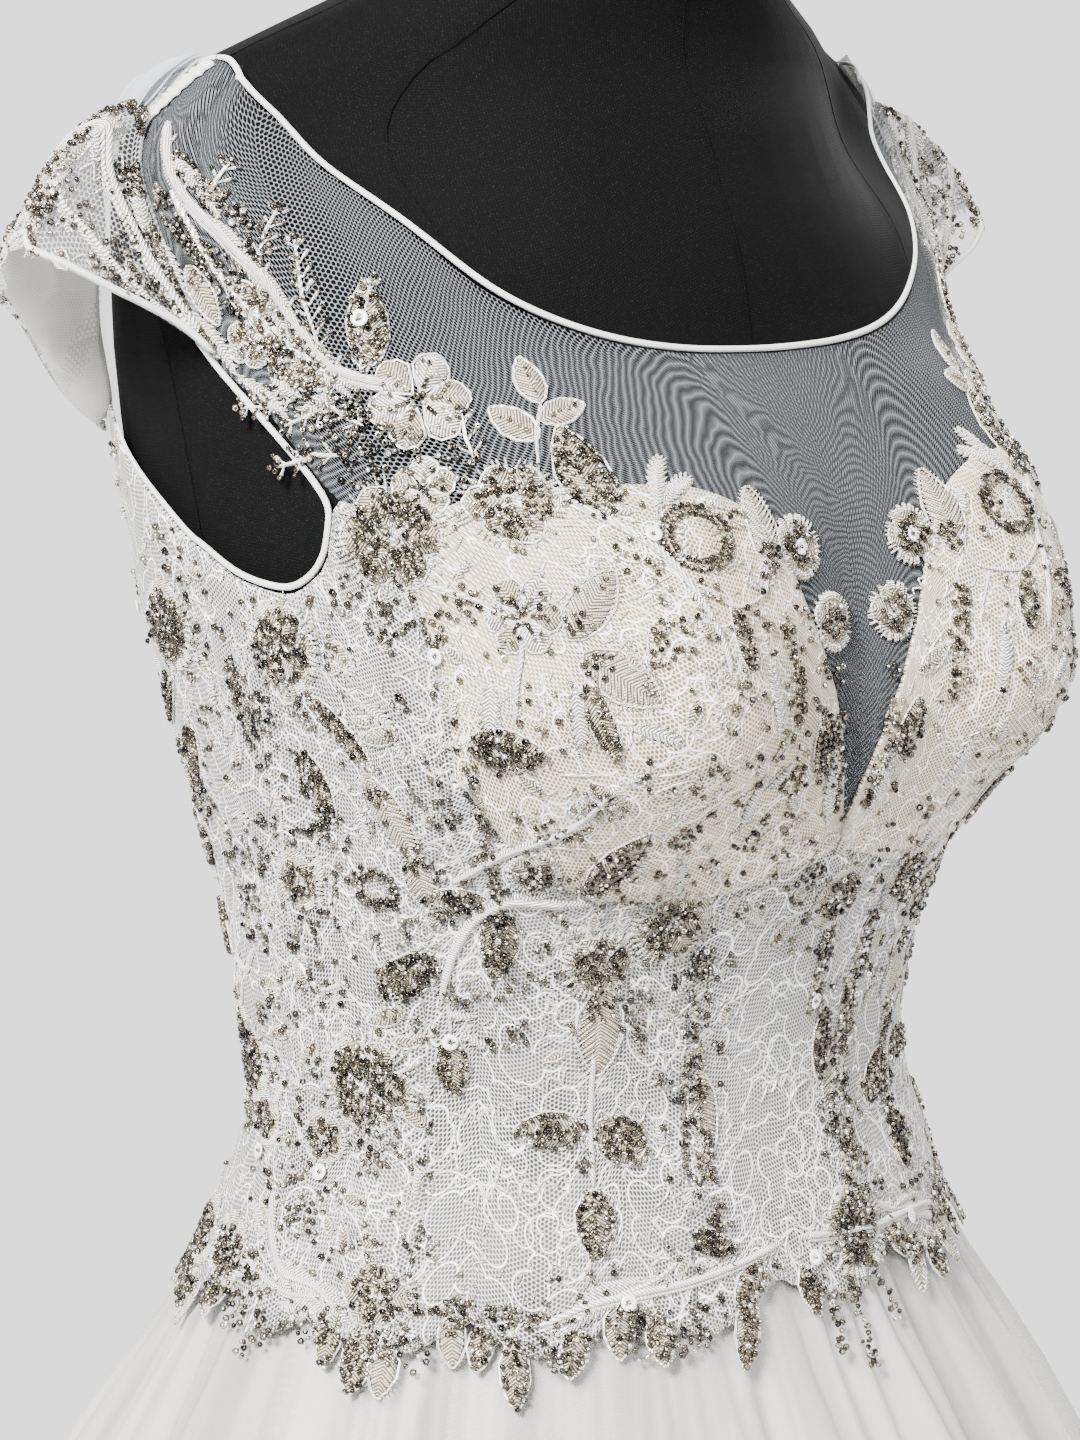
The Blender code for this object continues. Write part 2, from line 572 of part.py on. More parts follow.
def build_closure(collection):
    """A placket down the centre back with a row of small covered buttons on it."""
    centre_back = np.array([float(CLOSURE_ANGLE)])
    lace = panel_heights(centre_back, waist_edge, back_top, LACE_ROWS)[1:, 0]
    yoke = panel_heights(centre_back, back_top, neckline, YOKE_BACK_ROWS)[1:, 0]
    heights = np.concatenate([lace, yoke])
    angles = CLOSURE_ANGLE + np.array([-1, -0.33, 0.33, 1]) * PLACKET_HALF_ANGLE
    angle, height = np.broadcast_arrays(angles, heights[:, None])
    lift = bodice_lift(angle, height) + PANEL_THICKNESS + 2 * SEAM_GAP
    inner = lifted(cloth_point, angle, height, lift)
    outer = lifted(cloth_point, angle, height, lift + PLACKET_THICKNESS)
    cloth_wall("back_placket", inner, outer, "satin", collection)
    for number in range(BUTTONS):
        height = heights[:1] + (heights[-1] - heights[0]) * (number + 0.5) / BUTTONS
        lift = bodice_lift(centre_back, height) + PANEL_THICKNESS + PLACKET_THICKNESS
        near = lifted(cloth_point, centre_back, height, lift + 4 * SEAM_GAP)[0]
        far = lifted(cloth_point, centre_back, height, lift + 4 * SEAM_GAP + BUTTON_HEIGHT)[0]
        outward = (far - near) / BUTTON_HEIGHT
        across = np.array([1.0, 0.0, 0.0])
        upward = np.cross(outward, across)
        bm = bmesh.new()
        bmesh.ops.create_uvsphere(bm, u_segments=8, v_segments=4, radius=1)
        for vertex in bm.verts:
            spot = near + outward * BUTTON_HEIGHT / 2 * (1 + vertex.co.z)
            spot = spot + (across * vertex.co.x + upward * vertex.co.y) * BUTTON_RADIUS
            vertex.co = spot
        name = f"button_{number + 1:02d}"
        mesh = bpy.data.meshes.new(name)
        bm.to_mesh(mesh)
        bm.free()
        place(name, mesh, "satin", collection)


# ---------------------------------------------------------------- skirt
def build_skirt(collection):
    """The satin underskirt and the gathered tulle over it, each in six gores."""
    for skirt in SKIRTS:
        heights = np.array(skirt.heights)[:, None]
        columns = skirt.gathers * skirt.columns_per_gather // len(GORES)
        reach = smooth_value(SKIRT, "half_width", heights)
        half_gap = np.degrees(SEAM_GAP / 2 / reach)
        for number, gore in enumerate(GORES):
            start = (number - 0.5) * GORE_ANGLE
            angle = start + np.linspace(0, GORE_ANGLE, columns + 1) + 0 * heights
            angle[:, :1] += half_gap
            angle[:, -1:] -= half_gap
            height = heights + 0 * angle
            wander = WANDER * (np.sin(np.radians(angle * 3)) + np.cos(np.radians(angle * 7)))
            gathers = np.cos(np.radians((angle + wander) * skirt.gathers))
            depth = smooth_value(skirt.layers, "wave", height)
            lift = smooth_value(skirt.layers, "lift", height) + depth * gathers
            inner = lifted(cloth_point, angle, height, lift)
            outer = lifted(cloth_point, angle, height, lift + SKIRT_THICKNESS)
            cloth_wall(f"{skirt.name}_{gore}", inner, outer, skirt.finish, collection)


# ---------------------------------------------------------------- the form and its stand
def build_form(collection):
    """The limbless torso with its short neck, lofted through its own sections."""
    heights = np.array(FORM_HEIGHTS)[:, None]
    angles = np.linspace(-180, 180, FORM_COLUMNS, endpoint=False)
    bm = bmesh.new()
    points = lifted(form_point, angles, heights, -FORM_INSET)
    points[..., 2] = heights
    rings = [[bm.verts.new(point) for point in row] for row in points]
    for low, high in zip(rings, rings[1:]):
        for c in range(FORM_COLUMNS):
            n = (c + 1) % FORM_COLUMNS
            bm.faces.new((low[c], low[n], high[n], high[c]))
    bm.faces.new(rings[0][::-1])
    bm.faces.new(rings[-1])
    mesh = bpy.data.meshes.new("form_torso")
    bm.to_mesh(mesh)
    bm.free()
    place("form_torso", mesh, "jersey", collection)


def turned(name, profile, steps, finish, collection, location):
    """A solid turned round the upright through the outer profile, top to bottom."""
    bm = bmesh.new()
    verts = [bm.verts.new((radius, 0, height)) for radius, height in profile]
    for first, second in zip(verts, verts[1:]):
        bm.edges.new((first, second))
    mesh = bpy.data.meshes.new(name)
    bm.to_mesh(mesh)
    bm.free()
    piece = place(name, mesh, finish, collection)
    piece.location = location
    screw = piece.modifiers.new("turn", "SCREW")
    screw.steps = steps
    screw.render_steps = steps
    screw.use_merge_vertices = True
    screw.merge_threshold = 0.00005
    return piece


def build_stand(collection):
    """The neck cap, the pole and the round base."""
    neck_centre = smooth_value(FIGURE, "centre", FORM_TOP_HEIGHT)
    turned("form_neck_cap", ((0, NECK_CAP_HEIGHT), (NECK_CAP_RADIUS * 0.6, NECK_CAP_HEIGHT * 0.9),
                             (NECK_CAP_RADIUS * 0.93, NECK_CAP_HEIGHT * 0.55),
                             (NECK_CAP_RADIUS, NECK_CAP_HEIGHT * 0.2), (NECK_CAP_RADIUS, 0),
                             (0, 0)),
           24, "jersey", collection, (0, float(neck_centre), FORM_TOP_HEIGHT + SEAM_GAP))
    pole_bottom = BASE_THICKNESS + SEAM_GAP
    pole_top = FORM_BOTTOM_HEIGHT - SEAM_GAP
    turned("stand_pole", ((0, pole_top), (POLE_RADIUS, pole_top), (POLE_RADIUS, pole_bottom),
                          (0, pole_bottom)),
           20, "steel", collection, (0, 0, 0))
    turned("stand_base", ((0, BASE_THICKNESS), (BASE_RADIUS - BASE_EDGE, BASE_THICKNESS),
                          (BASE_RADIUS, BASE_THICKNESS - BASE_EDGE), (BASE_RADIUS, 0), (0, 0)),
           40, "steel", collection, (0, 0, 0))


def main():
    """Clears the scene and builds every sub-part."""
    for old in list(bpy.data.objects):
        bpy.data.objects.remove(old, do_unlink=True)
    dress = bpy.data.collections.new("wedding_dress")
    bpy.context.scene.collection.children.link(dress)
    build_form(dress)
    build_stand(dress)
    build_bodice(dress)
    build_sleeves(dress)
    build_bindings(dress)
    build_closure(dress)
    build_skirt(dress)


main()
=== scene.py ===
"""The looks of a wedding dress on a dress form: cloth, net, lace, embroidery and beads.

Every piece of cloth lies on one surface, the figure.  An angle goes round it from the centre
front (0) to the wearer's left (90 degrees) and the centre back (180), and a height is
measured from the floor.  Embroidery and beads are laid out in small flat drawings, which are
then wrapped onto that surface.
"""
import logging
import math
from collections import defaultdict, namedtuple
from collections.abc import Callable, Sequence
from dataclasses import dataclass, field
from enum import Enum

import bmesh
import bpy
import numpy as np
from mathutils import Matrix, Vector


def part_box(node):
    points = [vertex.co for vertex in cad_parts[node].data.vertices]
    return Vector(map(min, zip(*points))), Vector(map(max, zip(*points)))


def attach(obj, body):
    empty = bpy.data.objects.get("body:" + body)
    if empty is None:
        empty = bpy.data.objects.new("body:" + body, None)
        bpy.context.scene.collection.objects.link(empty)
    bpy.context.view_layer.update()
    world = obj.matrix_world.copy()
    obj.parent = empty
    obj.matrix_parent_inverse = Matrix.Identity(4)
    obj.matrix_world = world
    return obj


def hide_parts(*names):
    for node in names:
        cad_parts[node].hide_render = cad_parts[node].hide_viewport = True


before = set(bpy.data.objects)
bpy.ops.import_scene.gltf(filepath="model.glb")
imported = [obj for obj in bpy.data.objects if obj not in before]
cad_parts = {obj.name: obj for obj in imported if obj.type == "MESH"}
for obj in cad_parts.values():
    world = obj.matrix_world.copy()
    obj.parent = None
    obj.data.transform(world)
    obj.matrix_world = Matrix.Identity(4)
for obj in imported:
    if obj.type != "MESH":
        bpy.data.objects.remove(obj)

LOG = logging.getLogger("wedding_dress")
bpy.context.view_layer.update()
MM = 0.001
SEED = 11
CLOTH_UV = "Cloth"
Colour = tuple[float, float, float]


def table(kind: type, *rows: tuple) -> tuple:
    """Returns: rows of a table, each as one named tuple."""
    return tuple(kind(*row) for row in rows)


# ---------------------------------------------------------------- driving sizes (metres)
WAIST_SEAM_HEIGHT = 1.003
BUST_HEIGHT = 1.212
SHOULDER_HEIGHT = 1.412
NECKLINE_FRONT_HEIGHT = 1.3165
NECKLINE_BACK_HEIGHT = 1.338
HEM_HEIGHT = 0.014
FORM_BOTTOM_HEIGHT = 0.870
FORM_TOP_HEIGHT = 1.520

SEAM_GAP = 0.0003
EASE = 0.0019  # from the form to the inside of the cloth
SHOULDER_EASE = 0.0004
SHOULDER_EDGE_HEIGHT = 1.390  # above it the ease shrinks over the next height
SHOULDER_BLEND = 0.012
SHOULDER_SPREAD = 9  # degrees
FORM_INSET = 0.0005  # the form's flat facets stay inside the surface the cloth is cut to
NET_THICKNESS = 0.0012
PANEL_THICKNESS = 0.0018
CUP_THICKNESS = 0.0026
SKIRT_THICKNESS = 0.0010
BINDING_RADIUS = 0.0014

# Angles in degrees from the centre front.
PRINCESS_ANGLE = 16
CUP_OUTER_ANGLE = 60
SIDE_SEAM_ANGLE = 90
ARMHOLE_BACK_ANGLE = 113
BACK_SEAM_ANGLE = 120
CLOSURE_ANGLE = 180
PANEL_GIRTH_RADIUS = 0.125  # turns a width on the bodice into an angle

SMALLEST_CUT = 0.010  # narrower tapes are trim on the cloth that they edge
SMALLEST_AREA_SHARE = 0.301  # of the rectangle round a cut
RING_WELD = 2e-5
TURN_STEP, HEIGHT_STEP = 0.6, 0.0012  # degrees and metres between points that give a normal

# ---------------------------------------------------------------- the figure's sections
Section = namedtuple("Section", "height half_width front back centre power")
FIGURE = table(
    Section,
    (0.87, 0.158, 0.112, 0.12, 0.0, 2.1),
    (0.96, 0.148, 0.104, 0.108, 0.0, 2.1),
    (1.01, 0.139, 0.099, 0.097, 0.0, 2.1),
    (1.065, 0.128, 0.095, 0.083, 0.002, 2.1),
    (1.12, 0.133, 0.106, 0.085, 0.005, 2.2),
    (1.165, 0.141, 0.119, 0.091, 0.008, 2.3),
    (1.212, 0.15, 0.122, 0.101, 0.01, 2.35),
    (1.26, 0.157, 0.122, 0.112, 0.013, 2.35),
    (1.3, 0.163, 0.109, 0.118, 0.016, 2.2),
    (1.32, 0.166, 0.1005, 0.118, 0.018, 2.1),
    (1.34, 0.169, 0.099, 0.113, 0.02, 2.0),
    (1.358, 0.171, 0.095, 0.104, 0.021, 2.0),
    (1.376, 0.172, 0.088, 0.094, 0.022, 2.0),
    (1.39, 0.168, 0.082, 0.086, 0.021, 2.0),
    (1.402, 0.159, 0.074, 0.077, 0.019, 2.0),
    (1.412, 0.146, 0.066, 0.07, 0.016, 2.0),
    (1.424, 0.12, 0.06, 0.063, 0.011, 2.0),
    (1.436, 0.092, 0.056, 0.057, 0.005, 2.0),
    (1.45, 0.07, 0.056, 0.055, 0.0, 2.0),
    (1.48, 0.061, 0.055, 0.055, -0.005, 2.0),
    (1.52, 0.059, 0.055, 0.055, -0.011, 2.0),
)
# The same surface continued below the waist seam, for the underskirt.
SKIRT = table(
    Section,
    (0.014, 0.53, 0.517, 0.517, 0.0, 2.0),
    (0.3, 0.425, 0.403, 0.407, 0.003, 2.0),
    (0.6, 0.312, 0.279, 0.286, 0.004, 2.0),
    (0.8, 0.228, 0.189, 0.197, 0.003, 2.0),
    (0.911, 0.178, 0.137, 0.143, 0.001, 2.05),
    (0.95, 0.16, 0.118, 0.122, 0.0, 2.1),
    (0.98, 0.15, 0.108, 0.111, 0.0, 2.1),
    (1.003, 0.142, 0.102, 0.104, 0.0, 2.1),
    (1.022, 0.137, 0.0985, 0.1, 0.0, 2.1),
)
SKIRT_BLEND = 0.019  # above the waist seam, where the bodice takes over from the skirt

# Forward fullness: where it is, how far it stands out and how wide it spreads.
Fullness = namedtuple("Fullness", "across height depth spread spread_down spread_up")
CUP_FULLNESS = Fullness(0.088, BUST_HEIGHT, 0.048, 0.042, 0.034, 0.052)
# The cloth spans the hollow between the cups and the hollow of the chest.
SPAN_BETWEEN_CUPS = Fullness(0.0, 1.205, 0.014, 0.026, 0.055, 0.060)
SPAN_OVER_CHEST = Fullness(0.0, 1.300, 0.005, 0.080, 0.040, 0.025)
# The hollow of the figure below the front of each shoulder.
SHOULDER_HOLLOW = Fullness(0.125, 1.390, -0.022, 0.030, 0.018, 0.022)
FORM_SHOULDER_HOLLOW = Fullness(0.125, 1.390, -0.026, 0.031, 0.020, 0.023)

# Clearance of the bodice: the skirt's two layers are sewn in under its lower edge.
Clearance = namedtuple("Clearance", "height lift")
BODICE_CLEARANCE = table(
    Clearance, (0.98, 0.0084), (0.99, 0.0068), (1.003, 0.0054), (1.022, 0.0052), (1.05, EASE),
    (1.5, EASE),
)

# ---------------------------------------------------------------- edges of the pieces
Edge = namedtuple("Edge", "angle height")
NECKLINE = table(
    Edge, (0, NECKLINE_FRONT_HEIGHT), (9.5, 1.3175), (19, 1.321), (28, 1.328), (36.5, 1.34),
    (43, 1.358), (49.5, 1.377), (54, 1.39), (62, 1.399), (70, 1.406), (80, 1.4107),
    (90, SHOULDER_HEIGHT), (102, 1.404), (120, 1.386), (140, 1.36), (160, 1.343),
    (180, NECKLINE_BACK_HEIGHT),
)
CUP_TOP = table(
    Edge, (0, 1.165), (3, 1.199), (7, 1.233), (11, 1.261), (16, 1.273), (22, 1.278), (34, 1.28),
    (48, 1.277), (60, 1.268),
)
CUP_BOTTOM = table(
    Edge, (0, 1.157), (16, 1.146), (34, 1.149), (48, 1.165), (60, 1.192),
)
ARMHOLE_LOW = table(
    Edge, (60, 1.268), (66, 1.276), (72, 1.254), (78, 1.2455), (84, 1.248), (90, 1.258),
    (95, 1.268), (100, 1.276), (107, 1.287), (113, 1.302),
)
ARMHOLE_HIGH = table(
    Edge, (60, 1.268), (66, 1.276), (72, 1.304), (78, 1.32), (84, 1.352), (90, 1.39), (95, 1.393),
    (100, 1.385), (103, 1.375), (107, 1.351), (113, 1.302),
)
BACK_TOP = table(
    Edge, (113, 1.302), (120, 1.284), (147, 1.262), (180, 1.252),
)
HEM_SCALLOPS = 15  # leaf-shaped points of the lace round the waist seam
HEM_SCALLOP_DEPTH = 0.013

# ---------------------------------------------------------------- raised lace flowers
RaisedFlower = namedtuple("RaisedFlower", "angle height radius rise petals")
RAISED_FLOWERS = table(
    RaisedFlower, (14, 1.04, 0.017, 0.0014, 5), (30, 1.085, 0.018, 0.0014, 6),
    (24, 1.122, 0.015, 0.0012, 5), (46, 1.05, 0.018, 0.0014, 6), (52, 1.12, 0.016, 0.0012, 5),
    (70, 1.077, 0.019, 0.0015, 6), (76, 1.14, 0.016, 0.0012, 5), (76, 1.222, 0.019, 0.0015, 6),
    (92, 1.18, 0.016, 0.0012, 5), (104, 1.1, 0.017, 0.0013, 5), (112, 1.23, 0.018, 0.0014, 6),
    (126, 1.055, 0.016, 0.0013, 5), (138, 1.15, 0.018, 0.0014, 6), (152, 1.215, 0.017, 0.0014, 5),
    (158, 1.08, 0.016, 0.0013, 6), (20, 1.205, 0.016, 0.0014, 5), (44, 1.252, 0.018, 0.0016, 6),
    (33, 1.19, 0.017, 0.0013, 5), (50, 1.215, 0.015, 0.0013, 5), (50, 1.305, 0.016, 0.0015, 6),
    (30, 1.24, 0.014, 0.0012, 5), (132, 1.31, 0.016, 0.0013, 6), (110, 1.375, 0.013, 0.0012, 5),
    (66, 1.345, 0.013, 0.0012, 5),
)
PETAL_DEPTH = 0.18  # share of a flower's radius between its petals

# ---------------------------------------------------------------- cap sleeves
# Where the cap is sewn on, how far it reaches out from there and how high its edge ends.
Cap = namedtuple("Cap", "angle root reach edge")
CAP = table(
    Cap, (76.5, 1.318, 0.0035, 1.319), (78.5, 1.324, 0.012, 1.33), (81, 1.337, 0.031, 1.342),
    (84, 1.354, 0.038, 1.349), (87, 1.374, 0.041, 1.353), (90, 1.392, 0.044, 1.356),
    (95, 1.395, 0.047, 1.354), (100, 1.387, 0.043, 1.347), (103, 1.377, 0.042, 1.343),
    (107, 1.353, 0.04, 1.339), (110, 1.329, 0.038, 1.334), (113, 1.305, 0.031, 1.322),
    (116.5, 1.295, 0.018, 1.302), (119, 1.288, 0.0035, 1.289),
)
CAP_BEND = 2.2  # how late along its length the cap turns down
LEFT_CAP_SPREAD = 1.25  # the left cap stands further out than the right one

# ---------------------------------------------------------------- skirt
GORES = ("front", "left_front", "left_back", "back", "right_back", "right_front")
SKIRT_TOP_HEIGHT = 1.020
TULLE_TOP_HEIGHT = 0.992  # above it the lace covers the tulle
# How far a layer stands off the underskirt's plain surface, and how deep its gathers are.
Layer = namedtuple("Layer", "height lift wave")
TULLE_LAYER = table(
    Layer, (0.014, 0.032, 0.019), (0.3, 0.03, 0.0165), (0.6, 0.026, 0.0125), (0.8, 0.021, 0.0085),
    (0.911, 0.0155, 0.0055), (0.945, 0.012, 0.0038), (0.972, 0.007, 0.0016),
    (0.99, 0.0036, 0.0004), (1.003, 0.0027, 0.0001), (1.022, 0.0026, 0.0),
)
LINING_LAYER = table(
    Layer, (0.014, 0.0, 0.008), (0.3, 0.0, 0.007), (0.6, 0.0, 0.005), (0.8, 0.0, 0.003),
    (0.911, 0.0002, 0.0015), (0.96, 0.0006, 0.0005), (0.985, 0.0009, 0.0001), (1.003, 0.001, 0.0),
    (1.022, 0.001, 0.0),
)
WANDER = 1.6  # degrees that the gathers stray from even spacing
# The depth of the outer tulle's fine gathers, in millimetres, by height.
FINE_GATHER_DEPTHS = ((0.014, 4.4), (0.6, 4.2), (0.85, 4.0), (0.93, 3.6), (0.985, 2.2), (1.02, 0.5))

# ---------------------------------------------------------------- stitches and beads
BLUNTNESS = 0.75  # of leaves; 1 makes them pointed
VEIN_DEPTH = 0.45  # share of a leaf's height
CUT_BEAD_SHARE = 0.34
CUT_BEAD_SIZE = 0.8  # of a round bead's
SEQUIN_RADIUS = 2.8 * MM
Step = namedtuple("Step", "at value")


# ---------------------------------------------------------------- surfaces
def smooth_value(rows: Sequence, column: str, at: np.ndarray | float, key: str = "height"
                 ) -> np.ndarray:
    """Reads one column of a table anywhere, on a smooth curve that doesn't overshoot.

    Args:
        rows: the table.
        column: the name of the column to read.
        at: where to read it.
        key: the name of the column that these places belong to.

    Returns:
        The values.
    """
    rows = sorted(rows, key=lambda row: getattr(row, key))
    xs = np.array([getattr(row, key) for row in rows], dtype=float)
    ys = np.array([getattr(row, column) for row in rows], dtype=float)
    slopes = np.diff(ys) / np.diff(xs)
    before, after = slopes[:-1], slopes[1:]
    same_way = before * after > 0
    tangents = np.concatenate([slopes[:1], np.zeros(len(before)), slopes[-1:]])
    shared = 2 * before * after / np.where(same_way, before + after, 1)
    tangents[1:-1][same_way] = shared[same_way]
    at = np.clip(at, xs[0], xs[-1])
    i = np.clip(np.searchsorted(xs, at) - 1, 0, len(xs) - 2)
    width = xs[i + 1] - xs[i]
    t = (at - xs[i]) / width
    rise = t * t * (3 - 2 * t)
    bend = t * (1 - t) ** 2 * tangents[i] - t * t * (1 - t) * tangents[i + 1]
    return (1 - rise) * ys[i] + rise * ys[i + 1] + width * bend


def edge_height(edges: Sequence[Edge], angle: np.ndarray) -> np.ndarray:
    """Returns: an edge's height at an angle, the same on both sides of the body."""
    return smooth_value(edges, "height", np.abs(angle), key="angle")


def layer_values(layer: Sequence[Layer], height: np.ndarray) -> tuple[np.ndarray, np.ndarray]:
    """Returns: how far a skirt layer stands off and how deep its gathers are, at a height."""
    return smooth_value(layer, "lift", height), smooth_value(layer, "wave", height)


def fullness_depth(fullness: Fullness, across: np.ndarray, height: np.ndarray) -> np.ndarray:
    """How far one fullness pushes the surface forward.

    Args:
        fullness: the fullness.
        across: distances from the body's middle, in metres.
        height: heights in metres.

    Returns:
        The distances in metres.
    """
    spread = np.where(height < fullness.height, fullness.spread_down, fullness.spread_up)
    sideways = (np.abs(across) - fullness.across) / fullness.spread
    upward = (height - fullness.height) / spread
    return fullness.depth * np.exp(-0.5 * (sideways**2 + upward**2))


def ring_point(sections: Sequence[Section], angle: np.ndarray, height: np.ndarray,
               fullnesses: Sequence[Fullness] = ()) -> np.ndarray:
    """Points of the surface that a table of sections describes.

    Args:
        sections: the table.
        angle: angles in degrees.
        height: heights in metres.
        fullnesses: what stands out of the sections, or hollows them.

    Returns:
        The points.
    """
    half_width, front, back, centre, power = (
        smooth_value(sections, column, height) for column in Section._fields[1:])
    power = 2 / power
    sine, cosine = np.sin(np.radians(angle)), np.cos(np.radians(angle))
    x = half_width * np.sign(sine) * np.abs(sine) ** power
    depth = np.where(cosine > 0, front, back)
    y = centre - depth * np.sign(cosine) * np.abs(cosine) ** power
    facing = np.clip(cosine * 3, 0, 1)
    for fullness in fullnesses:
        y = y - facing * fullness_depth(fullness, x, height)
    return np.stack(np.broadcast_arrays(x, y, height + 0 * x), axis=-1)


def form_point(angle: np.ndarray, height: np.ndarray) -> np.ndarray:
    """Returns: points of the dress form's surface."""
    return ring_point(FIGURE, angle, height, (CUP_FULLNESS, FORM_SHOULDER_HOLLOW))


def cloth_point(angle: np.ndarray, height: np.ndarray) -> np.ndarray:
    """The surface that the cloth is cut to: the figure, and the skirt below the waist seam.

    Args:
        angle: angles in degrees.
        height: heights in metres.

    Returns:
        The points.
    """
    spans = (CUP_FULLNESS, SHOULDER_HOLLOW, SPAN_BETWEEN_CUPS, SPAN_OVER_CHEST)
    above = ring_point(FIGURE, angle, height, spans)
    share = np.clip((height - WAIST_SEAM_HEIGHT) / SKIRT_BLEND, 0, 1)[..., None]
    return ring_point(SKIRT, angle, height) * (1 - share) + above * share


def lifted(surface: Callable, angle: np.ndarray, height: np.ndarray, lift: np.ndarray | float
           ) -> np.ndarray:
    """Points of a surface moved out along its normals.

    Args:
        surface: gives points for arrays of angles and heights.
        angle: angles in degrees.
        height: heights in metres.
        lift: how far out, in metres.

    Returns:
        The points.
    """
    angle, height = (np.asarray(x, dtype=float) for x in np.broadcast_arrays(angle, height))
    along = surface(angle + TURN_STEP, height) - surface(angle - TURN_STEP, height)
    upward = surface(angle, height + HEIGHT_STEP) - surface(angle, height - HEIGHT_STEP)
    normal = np.cross(along, upward)
    normal /= np.linalg.norm(normal, axis=-1, keepdims=True)
    return surface(angle, height) + normal * np.asarray(lift)[..., None]


def bodice_lift(angle: np.ndarray, height: np.ndarray) -> np.ndarray:
    """Clearance of the cloth, which hangs from the top of the shoulders.

    Args:
        angle: angles in degrees.
        height: heights in metres.

    Returns:
        The clearances in metres.
    """
    on_shoulder = np.clip((height - SHOULDER_EDGE_HEIGHT) / SHOULDER_BLEND, 0, 1)
    on_shoulder = on_shoulder * np.exp(-(((np.abs(angle) - 90) / SHOULDER_SPREAD) ** 2))
    lift = smooth_value(BODICE_CLEARANCE, "lift", height)
    return lift + (SHOULDER_EASE - EASE) * on_shoulder


def relief(angle: np.ndarray, height: np.ndarray) -> np.ndarray:
    """How far the lace's raised flowers stand out of a panel.

    Args:
        angle: angles in degrees.
        height: heights in metres.

    Returns:
        The distances in metres.
    """
    total = np.zeros(np.broadcast(angle, height).shape)
    for flower in RAISED_FLOWERS:
        across = np.radians(np.abs(angle) - flower.angle) * PANEL_GIRTH_RADIUS
        upward = height - flower.height
        distance = np.hypot(across, upward) / flower.radius
        lobes = 1 + PETAL_DEPTH * np.cos(flower.petals * np.arctan2(upward, across))
        total = np.maximum(total, flower.rise * np.clip(1.6 - 1.3 * distance / lobes, 0, 1))
    return total


